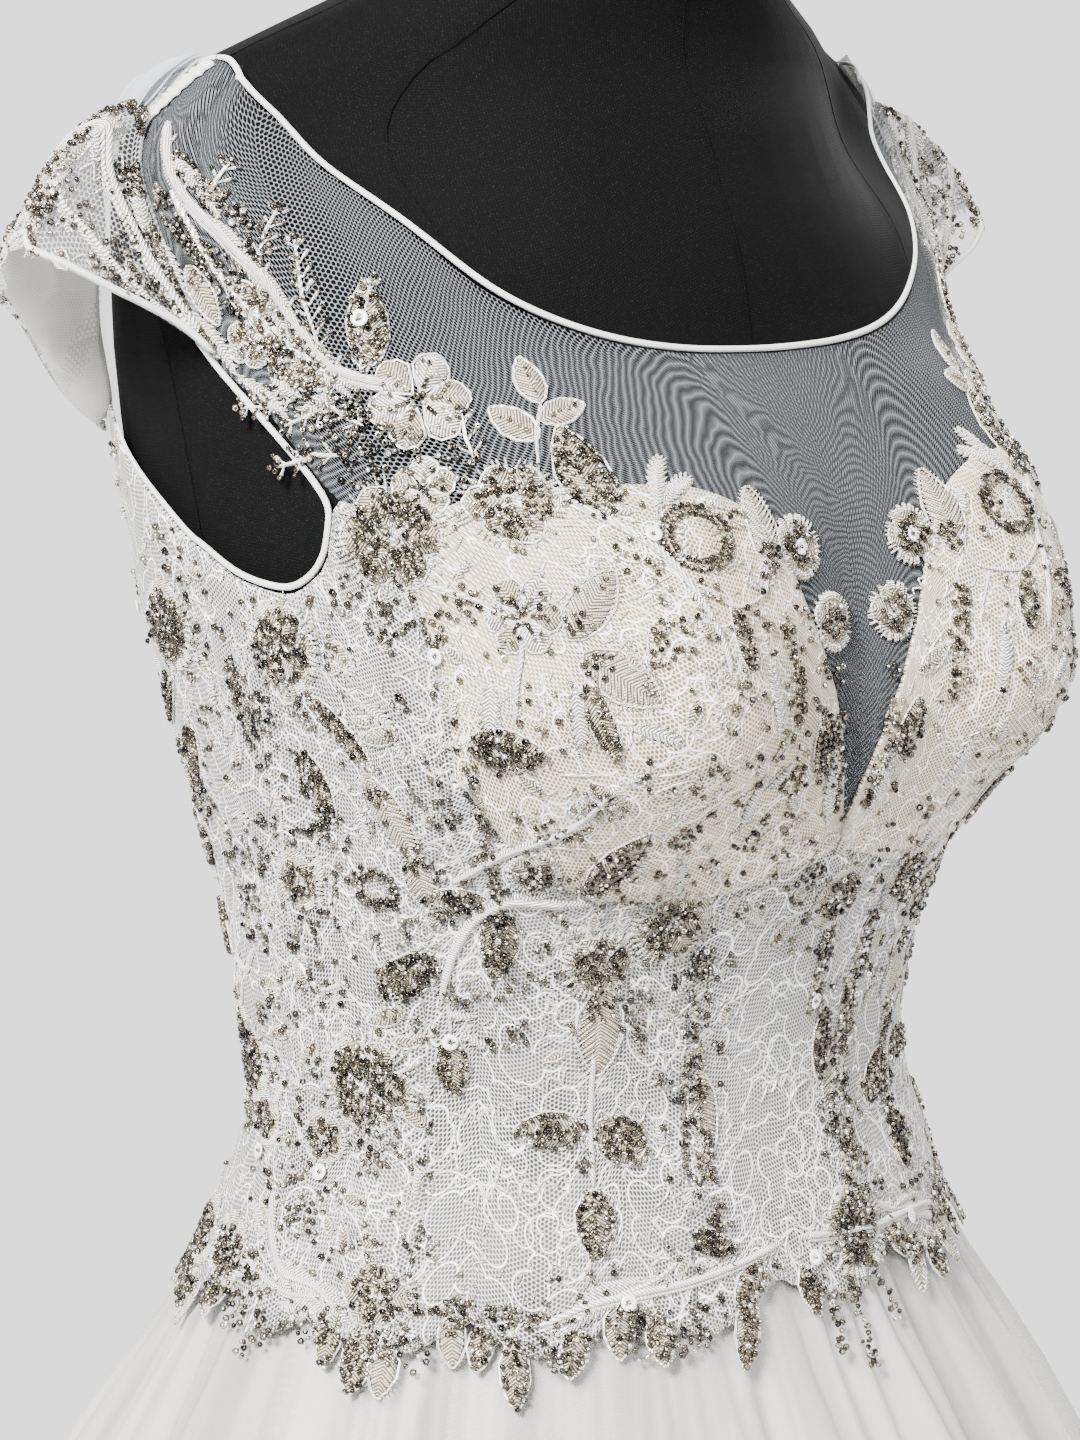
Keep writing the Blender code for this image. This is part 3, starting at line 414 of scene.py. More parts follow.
# ---------------------------------------------------------------- charts of the surfaces
@dataclass(frozen=True)
class Chart:
    """A surface kept as a fine grid of points, read anywhere between them.

    Columns run along the first coordinate (an angle) and rows along the second.
    """

    points: np.ndarray
    low: tuple[float, float]
    step: tuple[float, float]

    @classmethod
    def of(cls, surface: Callable, first: tuple, second: tuple) -> "Chart":
        """Samples a surface.

        Args:
            surface: gives points for arrays of the two coordinates.
            first: lowest, highest and step of the first coordinate.
            second: the same for the second coordinate.

        Returns:
            The chart.
        """
        a = np.arange(first[0], first[1] + first[2] / 2, first[2])
        b = np.arange(second[0], second[1] + second[2] / 2, second[2])
        a, b = np.meshgrid(a, b)
        return cls(surface(a, b), (first[0], second[0]), (first[2], second[2]))

    def __post_init__(self) -> None:
        """Works out the surface's directions at every point of the grid."""
        across = np.gradient(self.points, axis=1) / self.step[0]
        upward = np.gradient(self.points, axis=0) / self.step[1]
        normal = np.cross(across, upward)
        normal /= np.maximum(np.linalg.norm(normal, axis=-1, keepdims=True), 1e-12)
        object.__setattr__(self, "across", across)
        object.__setattr__(self, "upward", upward)
        object.__setattr__(self, "normal", normal)

    def read(self, grid: np.ndarray, a: np.ndarray, b: np.ndarray) -> np.ndarray:
        """Reads a grid of vectors between its points.

        Args:
            grid: one of the chart's own grids.
            a: first coordinates.
            b: second coordinates.

        Returns:
            One vector for each pair of coordinates.
        """
        rows, columns = grid.shape[:2]
        x = np.clip((a - self.low[0]) / self.step[0], 0, columns - 1.001)
        y = np.clip((b - self.low[1]) / self.step[1], 0, rows - 1.001)
        i, j = x.astype(int), y.astype(int)
        x, y = (x - i)[..., None], (y - j)[..., None]
        low = grid[j, i] * (1 - x) + grid[j, i + 1] * x
        high = grid[j + 1, i] * (1 - x) + grid[j + 1, i + 1] * x
        return low * (1 - y) + high * y

    def at(self, a: np.ndarray, b: np.ndarray, lift: np.ndarray | float = 0.0) -> np.ndarray:
        """Points of the surface, moved out along its normals.

        Args:
            a: first coordinates.
            b: second coordinates.
            lift: how far out, in metres.

        Returns:
            The points.
        """
        a, b = np.broadcast_arrays(np.asarray(a, float), np.asarray(b, float))
        lift = np.broadcast_to(np.asarray(lift, float), a.shape)
        return self.read(self.points, a, b) + self.read(self.normal, a, b) * lift[..., None]

    def frame(self, a: np.ndarray, b: np.ndarray) -> tuple[np.ndarray, np.ndarray, np.ndarray]:
        """The surface's own directions.

        Args:
            a: first coordinates.
            b: second coordinates.

        Returns:
            Unit vectors along the first coordinate, up the surface and out of it.
        """
        along = self.read(self.across, a, b)
        out = self.read(self.normal, a, b)
        along = along / np.maximum(np.linalg.norm(along, axis=-1, keepdims=True), 1e-9)
        out = out / np.maximum(np.linalg.norm(out, axis=-1, keepdims=True), 1e-9)
        return along, np.cross(out, along), out

    def near(self, a: np.ndarray, b: np.ndarray, u: np.ndarray, v: np.ndarray
             ) -> tuple[np.ndarray, np.ndarray]:
        """Coordinates of places a short way from other places.

        Args:
            a: first coordinates of the starting places.
            b: second coordinates of the starting places.
            u: metres along the first coordinate.
            v: metres up the surface.

        Returns:
            Both coordinates.
        """
        a, b, u, v = (x.astype(float) for x in np.broadcast_arrays(a, b, u, v))
        along, up, _ = self.frame(a, b)
        goal = self.read(self.points, a, b) + along * u[..., None] + up * v[..., None]
        for _ in range(4):
            gap = goal - self.read(self.points, a, b)
            pa, pb = self.read(self.across, a, b), self.read(self.upward, a, b)
            aa, ab, bb = (pa * pa).sum(-1), (pa * pb).sum(-1), (pb * pb).sum(-1)
            ga, gb = (gap * pa).sum(-1), (gap * pb).sum(-1)
            room = np.maximum(aa * bb - ab * ab, 1e-14)
            a = a + np.clip((ga * bb - gb * ab) / room, -12, 12)
            b = b + np.clip((gb * aa - ga * ab) / room, -0.05, 0.05)
        return a, b


def flat_lengths(points: np.ndarray) -> np.ndarray:
    """Lays a grid of points flat.

    Args:
        points: rows by columns of points.

    Returns:
        Distance along each row from the middle column, and up each column, in metres.
    """
    along = np.linalg.norm(np.diff(points, axis=1), axis=-1)
    along = np.concatenate([np.zeros((len(points), 1)), np.cumsum(along, axis=1)], axis=1)
    along = along - along[:, along.shape[1] // 2][:, None]
    up = np.linalg.norm(np.diff(points, axis=0), axis=-1)
    up = np.concatenate([np.zeros((1, points.shape[1])), np.cumsum(up, axis=0)], axis=0)
    return np.stack([along, up], axis=-1)


def top_of_cloth(angle: np.ndarray, height: np.ndarray) -> np.ndarray:
    """How far the outside of the bodice's or skirt's cloth stands off its surface.

    Args:
        angle: angles in degrees.
        height: heights in metres.

    Returns:
        The distances in metres.
    """
    lace = bodice_lift(angle, height) + PANEL_THICKNESS + relief(angle, height)
    cup = np.abs(angle) < CUP_OUTER_ANGLE
    upper = lace_top(angle)
    inside_cup = cup & (height > edge_height(CUP_BOTTOM, angle)) & (height < upper)
    extra = np.where(inside_cup, CUP_THICKNESS - PANEL_THICKNESS, 0.0)
    extra = np.where(height > upper, NET_THICKNESS - PANEL_THICKNESS, extra)
    tulle = sum(layer_values(TULLE_LAYER, height))
    over_skirt = np.where(height < TULLE_TOP_HEIGHT, tulle + SKIRT_THICKNESS + 0.4 * MM, 0.0)
    return np.maximum(lace + extra, over_skirt)


def blurred(values: np.ndarray, passes: int) -> np.ndarray:
    """Evens out a grid of numbers.

    Args:
        values: rows by columns.
        passes: how often each value is averaged with its neighbours.

    Returns:
        The evened grid.
    """
    for _ in range(passes):
        for axis in (0, 1):
            size = values.shape[axis]
            before = np.take(values, np.clip(np.arange(size) - 1, 0, size - 1), axis=axis)
            after = np.take(values, np.clip(np.arange(size) + 1, 0, size - 1), axis=axis)
            values = 0.25 * before + 0.5 * values + 0.25 * after
    return values


def embroidered_surface(angle: np.ndarray, height: np.ndarray) -> np.ndarray:
    """The outside of the cloth, that embroidery and beads are sewn on."""
    return lifted(cloth_point, angle, height, blurred(top_of_cloth(angle, height), 3))


# ---------------------------------------------------------------- shaders
def arithmetic(operation: str) -> Callable:
    """Makes the method behind one arithmetic sign of a wire.

    Args:
        operation: the shader's name for it.

    Returns:
        The method.
    """
    def apply(wire: "Wire", other: "Wire | float") -> "Wire":
        """Returns: the result for this value and another."""
        return wire.nodes.sum(operation, wire, other)

    return apply


class Wire:
    """One value of a shader, so that sums read as plain arithmetic."""

    def __init__(self, nodes: "Nodes", socket: bpy.types.NodeSocket) -> None:
        """Keeps where the value comes from."""
        self.nodes, self.socket = nodes, socket

    __add__ = __radd__ = arithmetic("ADD")
    __mul__ = __rmul__ = arithmetic("MULTIPLY")
    __sub__ = arithmetic("SUBTRACT")

    def cosine(self) -> "Wire":
        """Returns: the cosine of this value."""
        return self.nodes.sum("COSINE", self)

    def size(self) -> "Wire":
        """Returns: this value without its sign."""
        return self.nodes.sum("ABSOLUTE", self)

    def step(self, low: float, high: float, floor: float = 0.0, ceiling: float = 1.0) -> "Wire":
        """A soft step.

        Args:
            low: the value where it starts.
            high: the value where it ends.
            floor: what it gives before.
            ceiling: what it gives after.

        Returns:
            Floor to ceiling.
        """
        return self.nodes.node("ShaderNodeMapRange", {"interpolation_type": "SMOOTHSTEP"},
                               {"Value": self, "From Min": low, "From Max": high,
                                "To Min": floor, "To Max": ceiling})


class Nodes:
    """The nodes of a material or of the world."""

    def __init__(self, tree: bpy.types.NodeTree) -> None:
        """Keeps the tree that they are added to."""
        self.tree = tree

    def node(self, kind: str, settings: dict | None = None, sockets: dict | None = None,
             output: int | str = 0) -> Wire:
        """Adds a node.

        Args:
            kind: the node's type.
            settings: its properties by name.
            sockets: values or wires for its inputs, by name or number.
            output: which output to return.

        Returns:
            That output.
        """
        made = self.tree.nodes.new(kind)
        for key, value in (settings or {}).items():
            setattr(made, key, value)
        for key, value in (sockets or {}).items():
            self.join(made.inputs[key], value)
        return Wire(self, made.outputs[output])

    def join(self, socket: bpy.types.NodeSocket, value: "Wire | float | tuple") -> None:
        """Links or sets one input.

        Args:
            socket: the input.
            value: a wire to link, or a number or colour to set.
        """
        if isinstance(value, Wire):
            self.tree.links.new(value.socket, socket)
        elif isinstance(value, tuple) and len(value) == 3 and socket.type == "RGBA":
            socket.default_value = (*value, 1.0)
        else:
            socket.default_value = value

    def sum(self, operation: str, *values: "Wire | float") -> Wire:
        """Returns: the result of one operation on one or two values."""
        return self.node("ShaderNodeMath", {"operation": operation}, dict(enumerate(values)))

    def vectors(self, operation: str, *values: "Wire | tuple", output: str = "Vector") -> Wire:
        """Returns: the result of one operation on vectors."""
        return self.node("ShaderNodeVectorMath", {"operation": operation},
                         dict(enumerate(values)), output)

    def blend(self, share: "Wire | float", first: "Wire | tuple", second: "Wire | tuple") -> Wire:
        """Mixes two colours.

        Args:
            share: how much of the second.
            first: a colour.
            second: another colour.

        Returns:
            The mixed colour.
        """
        return self.node("ShaderNodeMix", {"data_type": "RGBA"}, {0: share, 6: first, 7: second}, 2)


class Look(Nodes):
    """A material being put together."""

    def __init__(self, name: str) -> None:
        """Starts an empty material."""
        self.material = bpy.data.materials.new(name)
        self.material.use_nodes = True
        super().__init__(self.material.node_tree)
        self.shader = self.tree.nodes["Principled BSDF"]

    def flat(self) -> tuple[Wire, Wire]:
        """Returns: the cloth's own flat coordinates in metres, along and up."""
        split = self.tree.nodes.new("ShaderNodeSeparateXYZ")
        self.join(split.inputs[0], self.node("ShaderNodeUVMap", {"uv_map": "Cloth"}))
        return Wire(self, split.outputs[0]), Wire(self, split.outputs[1])

    def place(self) -> Wire:
        """Returns: the place on the object, in metres."""
        return self.node("ShaderNodeTexCoord", output="Object")

    def mark(self, name: str) -> Wire:
        """Returns: a number that is kept with each point of the mesh."""
        return self.node("ShaderNodeAttribute", {"attribute_name": name}, output="Fac")

    def noise(self, scale: float, detail: float = 2.0, roughness: float = 0.5,
              at: Wire | None = None) -> Wire:
        """A cloudy value from 0 to 1.

        Args:
            scale: clouds for each metre.
            detail: how many finer clouds are added.
            roughness: how strong the finer ones are.
            at: where to read it, if not at the place on the object.

        Returns:
            The value.
        """
        return self.node("ShaderNodeTexNoise", None,
                         {"Vector": at or self.place(), "Scale": scale, "Detail": detail,
                          "Roughness": roughness})

    def raise_by(self, height: Wire, distance: float, strength: float = 1.0) -> None:
        """Bumps the surface.

        Args:
            height: the height, from 0 to 1.
            distance: what a height of 1 stands for, in metres.
            strength: how strong the bump is.
        """
        bump = self.node("ShaderNodeBump", None,
                         {"Strength": strength, "Distance": distance, "Height": height})
        self.join(self.shader.inputs["Normal"], bump)

    def set(self, **values: "Wire | float | tuple") -> None:
        """Sets inputs of the surface; underscores stand for spaces."""
        for key, value in values.items():
            self.join(self.shader.inputs[key.replace("_", " ")], value)


def shaded(colour: Colour, share: float) -> Colour:
    """Returns: a colour made lighter or darker by a share of 1."""
    return tuple(share * part for part in colour)


def net_threads(look: Look, pitch: float, thin: float, thick: float, sway: float = 0.0) -> Wire:
    """The threads of a six-sided net.

    Args:
        look: the material.
        pitch: distance between two holes, in metres.
        thin: the wave's value where a thread starts.
        thick: the wave's value where it is full.
        sway: how far its rows wander, in metres.

    Returns:
        1 on a thread and 0 in a hole.
    """
    along, up = look.flat()
    if sway:
        drift = look.noise(60.0, 2.0) - 0.5
        along, up = along + drift * sway, up - drift * (0.7 * sway)
    turns = 4 * math.pi / (math.sqrt(3) * pitch)
    wave = (along * turns).cosine()
    for lean in (0.5, -0.5):
        wave = wave + (along * (lean * turns) + up * (math.sqrt(0.75) * turns)).cosine()
    return wave.step(thin, thick)


def lobed_threads(look: Look, cell: float, reach: float, wide: float, shift: float = 0.0) -> Wire:
    """Fine threads that run in rounded lobes, like the edge of a heap of discs.

    Args:
        look: the material.
        cell: distance between two discs, in metres.
        reach: a disc's radius, in metres.
        wide: half of a thread's width, in metres.
        shift: moves the pattern, in metres.

    Returns:
        1 on a thread and 0 beside it.
    """
    along, up = look.flat()
    spot = look.node("ShaderNodeCombineXYZ", None, {0: along + shift, 1: up + shift * 0.7})
    away = look.node("ShaderNodeTexVoronoi", {"feature": "F1", "voronoi_dimensions": "2D"},
                     {"Vector": spot, "Scale": 1 / cell, "Randomness": 0.8}, "Distance")
    return (away - reach / cell).size().step(wide / cell, wide / cell * 0.4)


SKIRT_MIDDLE_RADIUS = 0.25


def fold_shade_streaks(look: Look, wide: float, tall: float) -> Wire:
    """Soft streaks where painted fold shade goes, which run down the skirt and fan out with it.

    Args:
        look: the material.
        wide: a streak's usual width half way down the skirt, in metres.
        tall: its usual length, in metres.

    Returns:
        0 to 1.
    """
    around = SKIRT_MIDDLE_RADIUS / wide
    level = look.vectors("MULTIPLY", look.place(), (1.0, 1.0, 0.0))
    drop = look.vectors("MULTIPLY", look.place(), (0.0, 0.0, 1 / tall))
    spot = look.vectors("MULTIPLY_ADD", look.vectors("NORMALIZE", level), (around,) * 3, drop)
    return look.noise(1.0, 2.0, 0.6, spot)


@dataclass(frozen=True)
class NetFinish:
    """Fine see-through tulle; where asked, painted shade darkens it along streaks that stand for
    its folds.
    """

    name: str
    pitch: float
    colour: Colour
    thread_cover: float
    hole_cover: float
    thread_from: float = -0.35
    # how much darker the painted shade along the fold streaks makes the colour
    fold_shade: float = 0.0
    sway: float = 0.0

    def make(self) -> bpy.types.Material:
        """Returns: the material."""
        look = Look(self.name)
        thread = net_threads(look, self.pitch, self.thread_from, self.thread_from - 0.6, self.sway)
        cover = thread * (self.thread_cover - self.hole_cover) + self.hole_cover
        cloud = look.noise(38.0, 3.0)
        cover = cover * (cloud * 0.06 + 0.97)
        tint: Wire | tuple = self.colour
        # Painted shade: the colour darkens along soft streaks that stand for the folds, and the
        # tulle covers more there, as doubled tulle does.
        if self.fold_shade:
            dark = shaded(self.colour, 1 - self.fold_shade)
            unshaded_share = fold_shade_streaks(look, 0.022, 0.55).step(0.36, 0.62)
            tint = look.blend(unshaded_share, dark, self.colour)
            cover = cover * (unshaded_share * -0.25 + 1.12)
        look.set(Base_Color=tint, Alpha=cover, Roughness=0.62, Sheen_Weight=0.1,
                 Sheen_Roughness=0.4)
        return look.material


@dataclass(frozen=True)
class LaceGroundFinish:
    """Fine net lying on an opaque lining."""

    name: str
    pitch: float
    thread: Colour
    gap: Colour
    cloud: Colour
    cord: Colour

    def make(self) -> bpy.types.Material:
        """Returns: the material."""
        look = Look(self.name)
        thread = net_threads(look, self.pitch, 0.2, -0.7, 2.5 * MM)
        cloud = look.noise(26.0, 3.0, 0.6).step(0.35, 0.7)
        under = look.blend(cloud, self.gap, self.cloud)
        net = look.blend(thread, under, self.thread)
        large = lobed_threads(look, 12.5 * MM, 6.4 * MM, 0.55 * MM)
        small = lobed_threads(look, 8.0 * MM, 3.7 * MM, 0.46 * MM, 0.137)
        patches = look.noise(30.0, 2.0).step(0.45, 0.55)
        worked = (large + small * patches).step(0.0, 1.0)
        look.set(Base_Color=look.blend(worked, net, self.cord), Sheen_Weight=0.25,
                 Roughness=thread * 0.15 + 0.58, Sheen_Roughness=0.35)
        look.raise_by(thread * 0.3 + worked, 0.0009, 1.0)
        return look.material


@dataclass(frozen=True)
class WovenFinish:
    """A close plain weave, such as satin, binding tape or a covered button."""

    name: str
    colour: Colour
    shade: Colour
    pitch: float
    roughness: float
    sheen: float = 0.2
    bump: float = 0.00015

    def make(self) -> bpy.types.Material:
        """Returns: the material."""
        look = Look(self.name)
        along, up = look.flat()
        turns = 2 * math.pi / self.pitch
        weave = (along * turns).cosine() * (up * (turns * 0.8)).cosine() * 0.5 + 0.5
        cloud = look.noise(30.0, 3.0)
        share = weave * 0.35 + cloud * 0.65
        look.set(Base_Color=look.blend(share.step(0.2, 0.75), self.shade, self.colour),
                 Roughness=cloud * 0.12 + (self.roughness - 0.06), Sheen_Weight=self.sheen,
                 Sheen_Roughness=0.4)
        look.raise_by(weave, self.bump, 0.7)
        return look.material


@dataclass(frozen=True)
class ThreadFinish:
    """Embroidery thread laid side by side across a leaf or along a cord, with painted shade in the
    grooves between the strands.
    """

    name: str
    colour: Colour
    # the colour of the painted shade in the grooves between strands
    shade: Colour
    pitch: float
    roughness: float = 0.42

    def make(self) -> bpy.types.Material:
        """Returns: the material."""
        look = Look(self.name)
        along, side = look.flat()
        strands = ((along - side.size() * 0.7) * (2 * math.pi / self.pitch)).cosine() * 0.5 + 0.5
        cloud = look.noise(120.0, 2.0)
        share = strands * 0.7 + cloud * 0.3
        # Painted shade: the grooves between strands, where the bump is low, take the shade colour,
        # with a little noise in it.
        look.set(Base_Color=look.blend(share.step(0.30, 0.72), self.shade, self.colour),
                 Roughness=strands * 0.15 + self.roughness, Sheen_Weight=0.35, Sheen_Roughness=0.3)
        look.raise_by(strands, 0.0005, 1.0)
        return look.material


@dataclass(frozen=True)
class BeadFinish:
    """Glass beads lined with silver, from dark bronze to clear, all but the darkest with a painted
    highlight in their middles.
    """

    name: str
    tones: tuple[tuple[float, Colour], ...]
    metallic: float
    roughness: float
    # the colour of the painted highlight in the middle of a bead
    middle: Colour = (0.95, 0.915, 0.83)

    def make(self) -> bpy.types.Material:
        """Returns: the material."""
        look = Look(self.name)
        tone = look.mark("tone")
        colour: Wire | tuple = self.tones[0][1]
        for (low, _), (high, shade) in zip(self.tones, self.tones[1:]):
            colour = look.blend(tone.step(low, high), colour, shade)
        # Painted highlight: the points marked light, round the middle of each bead or sequin, take
        # the bright middle colour unless the bead is dark.
        light = look.mark("light")
        colour = look.blend(light.step(0.2, 0.75) * tone.step(0.06, 0.24), colour, self.middle)
        glint = look.noise(700.0, 1.0)
        look.set(Base_Color=colour, Metallic=self.metallic, Coat_Weight=0.5, Coat_Roughness=0.05,
                 Roughness=glint * 0.12 + self.roughness)
        return look.material


@dataclass(frozen=True)
class JerseyFinish:
    """The dress form's close black knit."""

    name: str
    colour: Colour
    lint: Colour
    pitch: float

    def make(self) -> bpy.types.Material:
        """Returns: the material."""
        look = Look(self.name)
        along, up = look.flat()
        turns = 2 * math.pi / self.pitch
        knit = ((along * turns).cosine() + (up * turns + (along * turns).cosine()).cosine()) * 0.25
        cloud = look.noise(60.0, 4.0, 0.65)
        speck = look.noise(2600.0, 1.0).step(0.62, 0.74)
        base = look.blend(cloud, shaded(self.colour, 0.8), shaded(self.colour, 1.25))
        look.set(Base_Color=look.blend(speck * 0.25, base, self.lint), Roughness=0.86,
                 Sheen_Weight=0.0, Sheen_Roughness=0.5, Specular_IOR_Level=0.05)
        look.raise_by(knit + speck * 0.3, 0.0003, 0.7)
        return look.material


@dataclass(frozen=True)
class SteelFinish:
    """Powder-coated steel."""

    name: str
    colour: Colour

    def make(self) -> bpy.types.Material:
        """Returns: the material."""
        look = Look(self.name)
        peel = look.noise(900.0, 2.0)
        wear = look.noise(14.0, 4.0, 0.6)
        look.set(Base_Color=look.blend(wear, self.colour, shaded(self.colour, 1.6)),
                 Metallic=0.35, Roughness=wear * 0.2 + 0.32)
        look.raise_by(peel, 0.0002, 0.5)
        return look.material


class Finish(Enum):
    """Every finish of the dress, the form and the stand."""

    YOKE_NET = NetFinish("yoke_net", 1.9 * MM, (0.36, 0.385, 0.405), 0.18, 0.0, -0.5, 0.0, 4 * MM)
    SLEEVE_NET = NetFinish("sleeve_net", 2.0 * MM, (0.54, 0.545, 0.54), 0.40, 0.02, -0.5)
    LACE_GROUND = LaceGroundFinish("lace_ground", 1.6 * MM, (0.45, 0.44, 0.40),
                                   (0.022, 0.023, 0.023), (0.095, 0.092, 0.081),
                                   (0.97, 0.955, 0.885))
    CUP_GROUND = LaceGroundFinish("cup_ground", 1.6 * MM, (0.66, 0.585, 0.42),
                                  (0.10, 0.077, 0.047), (0.27, 0.215, 0.13), (0.97, 0.935, 0.82))
    # The outer and middle tulles' last number is how much the painted shade along their fold
    # streaks darkens them.
    TULLE_OUTER = NetFinish("outer_tulle", 1.0 * MM, (0.74, 0.72, 0.665), 0.36, 0.24, -0.35, 0.42)
    TULLE_MIDDLE = NetFinish("middle_tulle", 1.0 * MM, (0.64, 0.625, 0.58), 0.46, 0.32, -0.35, 0.35)
    STRAP_TULLE = NetFinish("strap_tulle", 1.0 * MM, (0.41, 0.435, 0.47), 0.72, 0.50)
    FOLD_TULLE = NetFinish("fold_tulle", 1.2 * MM, (0.68, 0.665, 0.615), 0.95, 0.66)
    LINING = WovenFinish("satin_lining", (0.57, 0.555, 0.515), (0.51, 0.495, 0.46), 0.6 * MM, 0.45)
    BINDING = WovenFinish("binding_tape", (0.68, 0.675, 0.65), (0.52, 0.515, 0.50), 0.7 * MM, 0.6)
    SATIN = WovenFinish("satin", (0.84, 0.82, 0.78), (0.76, 0.74, 0.70), 0.5 * MM, 0.36)
    # A thread finish's second colour is the painted shade in the grooves between its strands.
    WHITE_THREAD = ThreadFinish("white_thread", (0.97, 0.94, 0.845), (0.40, 0.38, 0.325),
                                0.90 * MM, 0.55)
    CREAM_THREAD = ThreadFinish("cream_thread", (0.74, 0.66, 0.475), (0.20, 0.165, 0.11),
                                0.90 * MM, 0.55)
    WHITE_LEAF = ThreadFinish("white_leaf", (0.97, 0.94, 0.845), (0.15, 0.138, 0.108),
                              1.20 * MM, 0.55)
    CREAM_LEAF = ThreadFinish("cream_leaf", (0.62, 0.55, 0.39), (0.075, 0.062, 0.041),
                              1.20 * MM, 0.55)
    BEADS = BeadFinish("seed_beads", ((0.0, (0.012, 0.0095, 0.0065)), (0.30, (0.050, 0.039, 0.026)),
                                      (0.62, (0.128, 0.102, 0.066)), (0.85, (0.42, 0.37, 0.28)),
                                      (1.0, (0.93, 0.92, 0.88))), 0.85, 0.16)
    SEQUINS = BeadFinish("sequins", ((0.0, (0.80, 0.80, 0.78)), (1.0, (0.93, 0.93, 0.92))),
                         0.15, 0.2)
    JERSEY = JerseyFinish("black_jersey", (0.0019, 0.0019, 0.0020), (0.045, 0.045, 0.048), 1.1 * MM)
    STEEL = SteelFinish("black_steel", (0.020, 0.020, 0.022))

    def made(self) -> bpy.types.Material:
        """Returns: the finish's material, made once."""
        return bpy.data.materials.get(self.value.name) or self.value.make()


# ---------------------------------------------------------------- cloth
def dress_up(piece: bpy.types.Object, finish: Finish, slot: str) -> bpy.types.Object:
    """Gives a piece its finish and its body.

    Args:
        piece: the object.
        finish: what it is made of.
        slot: not used.

    Returns:
        The same object.
    """
    piece.data.materials.clear()
    piece.data.materials.append(finish.made())
    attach(piece, "root")
    return piece


def link(name: str, mesh: bpy.types.Mesh) -> bpy.types.Object:
    """Returns: a smooth mesh as one object of the scene."""
    mesh.shade_smooth()
    return show(name, mesh)


def show(name: str, data: bpy.types.ID) -> bpy.types.Object:
    """Returns: a new object of the scene, for a mesh, a curve, a lamp or a camera."""
    made = bpy.data.objects.new(name, data)
    bpy.context.scene.collection.objects.link(made)
    return made


def lay_flat(mesh: bpy.types.Mesh, flat: np.ndarray) -> None:
    """Keeps where each point of a mesh lies on the flat cloth.

    Args:
        mesh: the mesh.
        flat: one place for each of its points, in metres.
    """
    corner = np.empty(len(mesh.loops), dtype=np.int32)
    mesh.loops.foreach_get("vertex_index", corner)
    layer = mesh.uv_layers.get(CLOTH_UV) or mesh.uv_layers.new(name=CLOTH_UV)
    layer.data.foreach_set("uv", flat[corner].astype(np.float32).ravel())


def grid_mesh(name: str, points: np.ndarray, weld: float = 0.0, filled: bool = False
              ) -> bpy.types.Mesh:
    """Makes a mesh of a grid of points.

    Args:
        name: the mesh's name.
        points: rows by columns of points.
        weld: points closer than this are joined, in metres.
        filled: closes the holes that are left.

    Returns:
        The mesh.
    """
    rows, columns = points.shape[:2]
    bm = bmesh.new()
    bmesh.ops.create_grid(bm, x_segments=columns - 1, y_segments=rows - 1, size=0.5)
    column = np.rint([(v.co.x + 0.5) * (columns - 1) for v in bm.verts]).astype(int)
    row = np.rint([(v.co.y + 0.5) * (rows - 1) for v in bm.verts]).astype(int)
    mesh = bpy.data.meshes.new(name)
    bm.to_mesh(mesh)
    mesh.vertices.foreach_set("co", points[row, column].astype(np.float32).ravel())
    lay_flat(mesh, flat_lengths(points)[row, column])
    if weld:
        bm.clear()
        bm.from_mesh(mesh)
        bmesh.ops.remove_doubles(bm, verts=bm.verts, dist=weld)
        if filled:
            bmesh.ops.holes_fill(bm, edges=[e for e in bm.edges if e.is_boundary], sides=0)
            bmesh.ops.recalc_face_normals(bm, faces=bm.faces)
        bm.to_mesh(mesh)
    bm.free()
    return mesh


@dataclass
class Cloth:
    """One cut piece of thin cloth on a grid of points.

    Rows go up and columns go to the wearer's left, seen from outside.
    """

    name: str
    points: np.ndarray
    finish: Finish
    slot: str
    thickness: float = 0.3 * MM
    ring: bool = False
    held: str = "stretched"
    rests_on: Sequence[str] = ("form_torso",)
    replaces: Sequence[str] = ()

    def build(self) -> bpy.types.Object:
        """Makes the piece and logs the size of its cut.

        Returns:
            The object.
        """
        mesh = grid_mesh(self.name, self.points, RING_WELD if self.ring else 0.0)
        piece = dress_up(link(self.name, mesh), self.finish, self.slot)
        wall = piece.modifiers.new("thickness", "SOLIDIFY")
        wall.thickness = self.thickness
        wall.offset = -1.0
        wall.use_even_offset = False
        if self.replaces:
            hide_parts(*self.replaces)
        width, length, area = self.cut()
        if min(width, length) >= SMALLEST_CUT:
            list(self.rests_on)
        LOG.info("%s: %d faces, cut %.3f x %.3f m, %.4f m2", self.name, len(mesh.polygons), width,
                 length, area)
        return piece

    def cut(self) -> tuple[float, float, float]:
        """Returns: the flat cut's width, length and area."""
        p = self.points
        along, up = (np.linalg.norm(np.diff(p, axis=axis), axis=-1).sum(axis=axis).max()
                     for axis in (1, 0))
        first = np.cross(p[1:, :-1] - p[:-1, :-1], p[:-1, 1:] - p[:-1, :-1])
        second = np.cross(p[1:, :-1] - p[1:, 1:], p[:-1, 1:] - p[1:, 1:])
        area = 0.5 * (np.linalg.norm(first, axis=-1).sum() + np.linalg.norm(second, axis=-1).sum())
        return float(along), float(up), float(max(area, SMALLEST_AREA_SHARE * along * up))


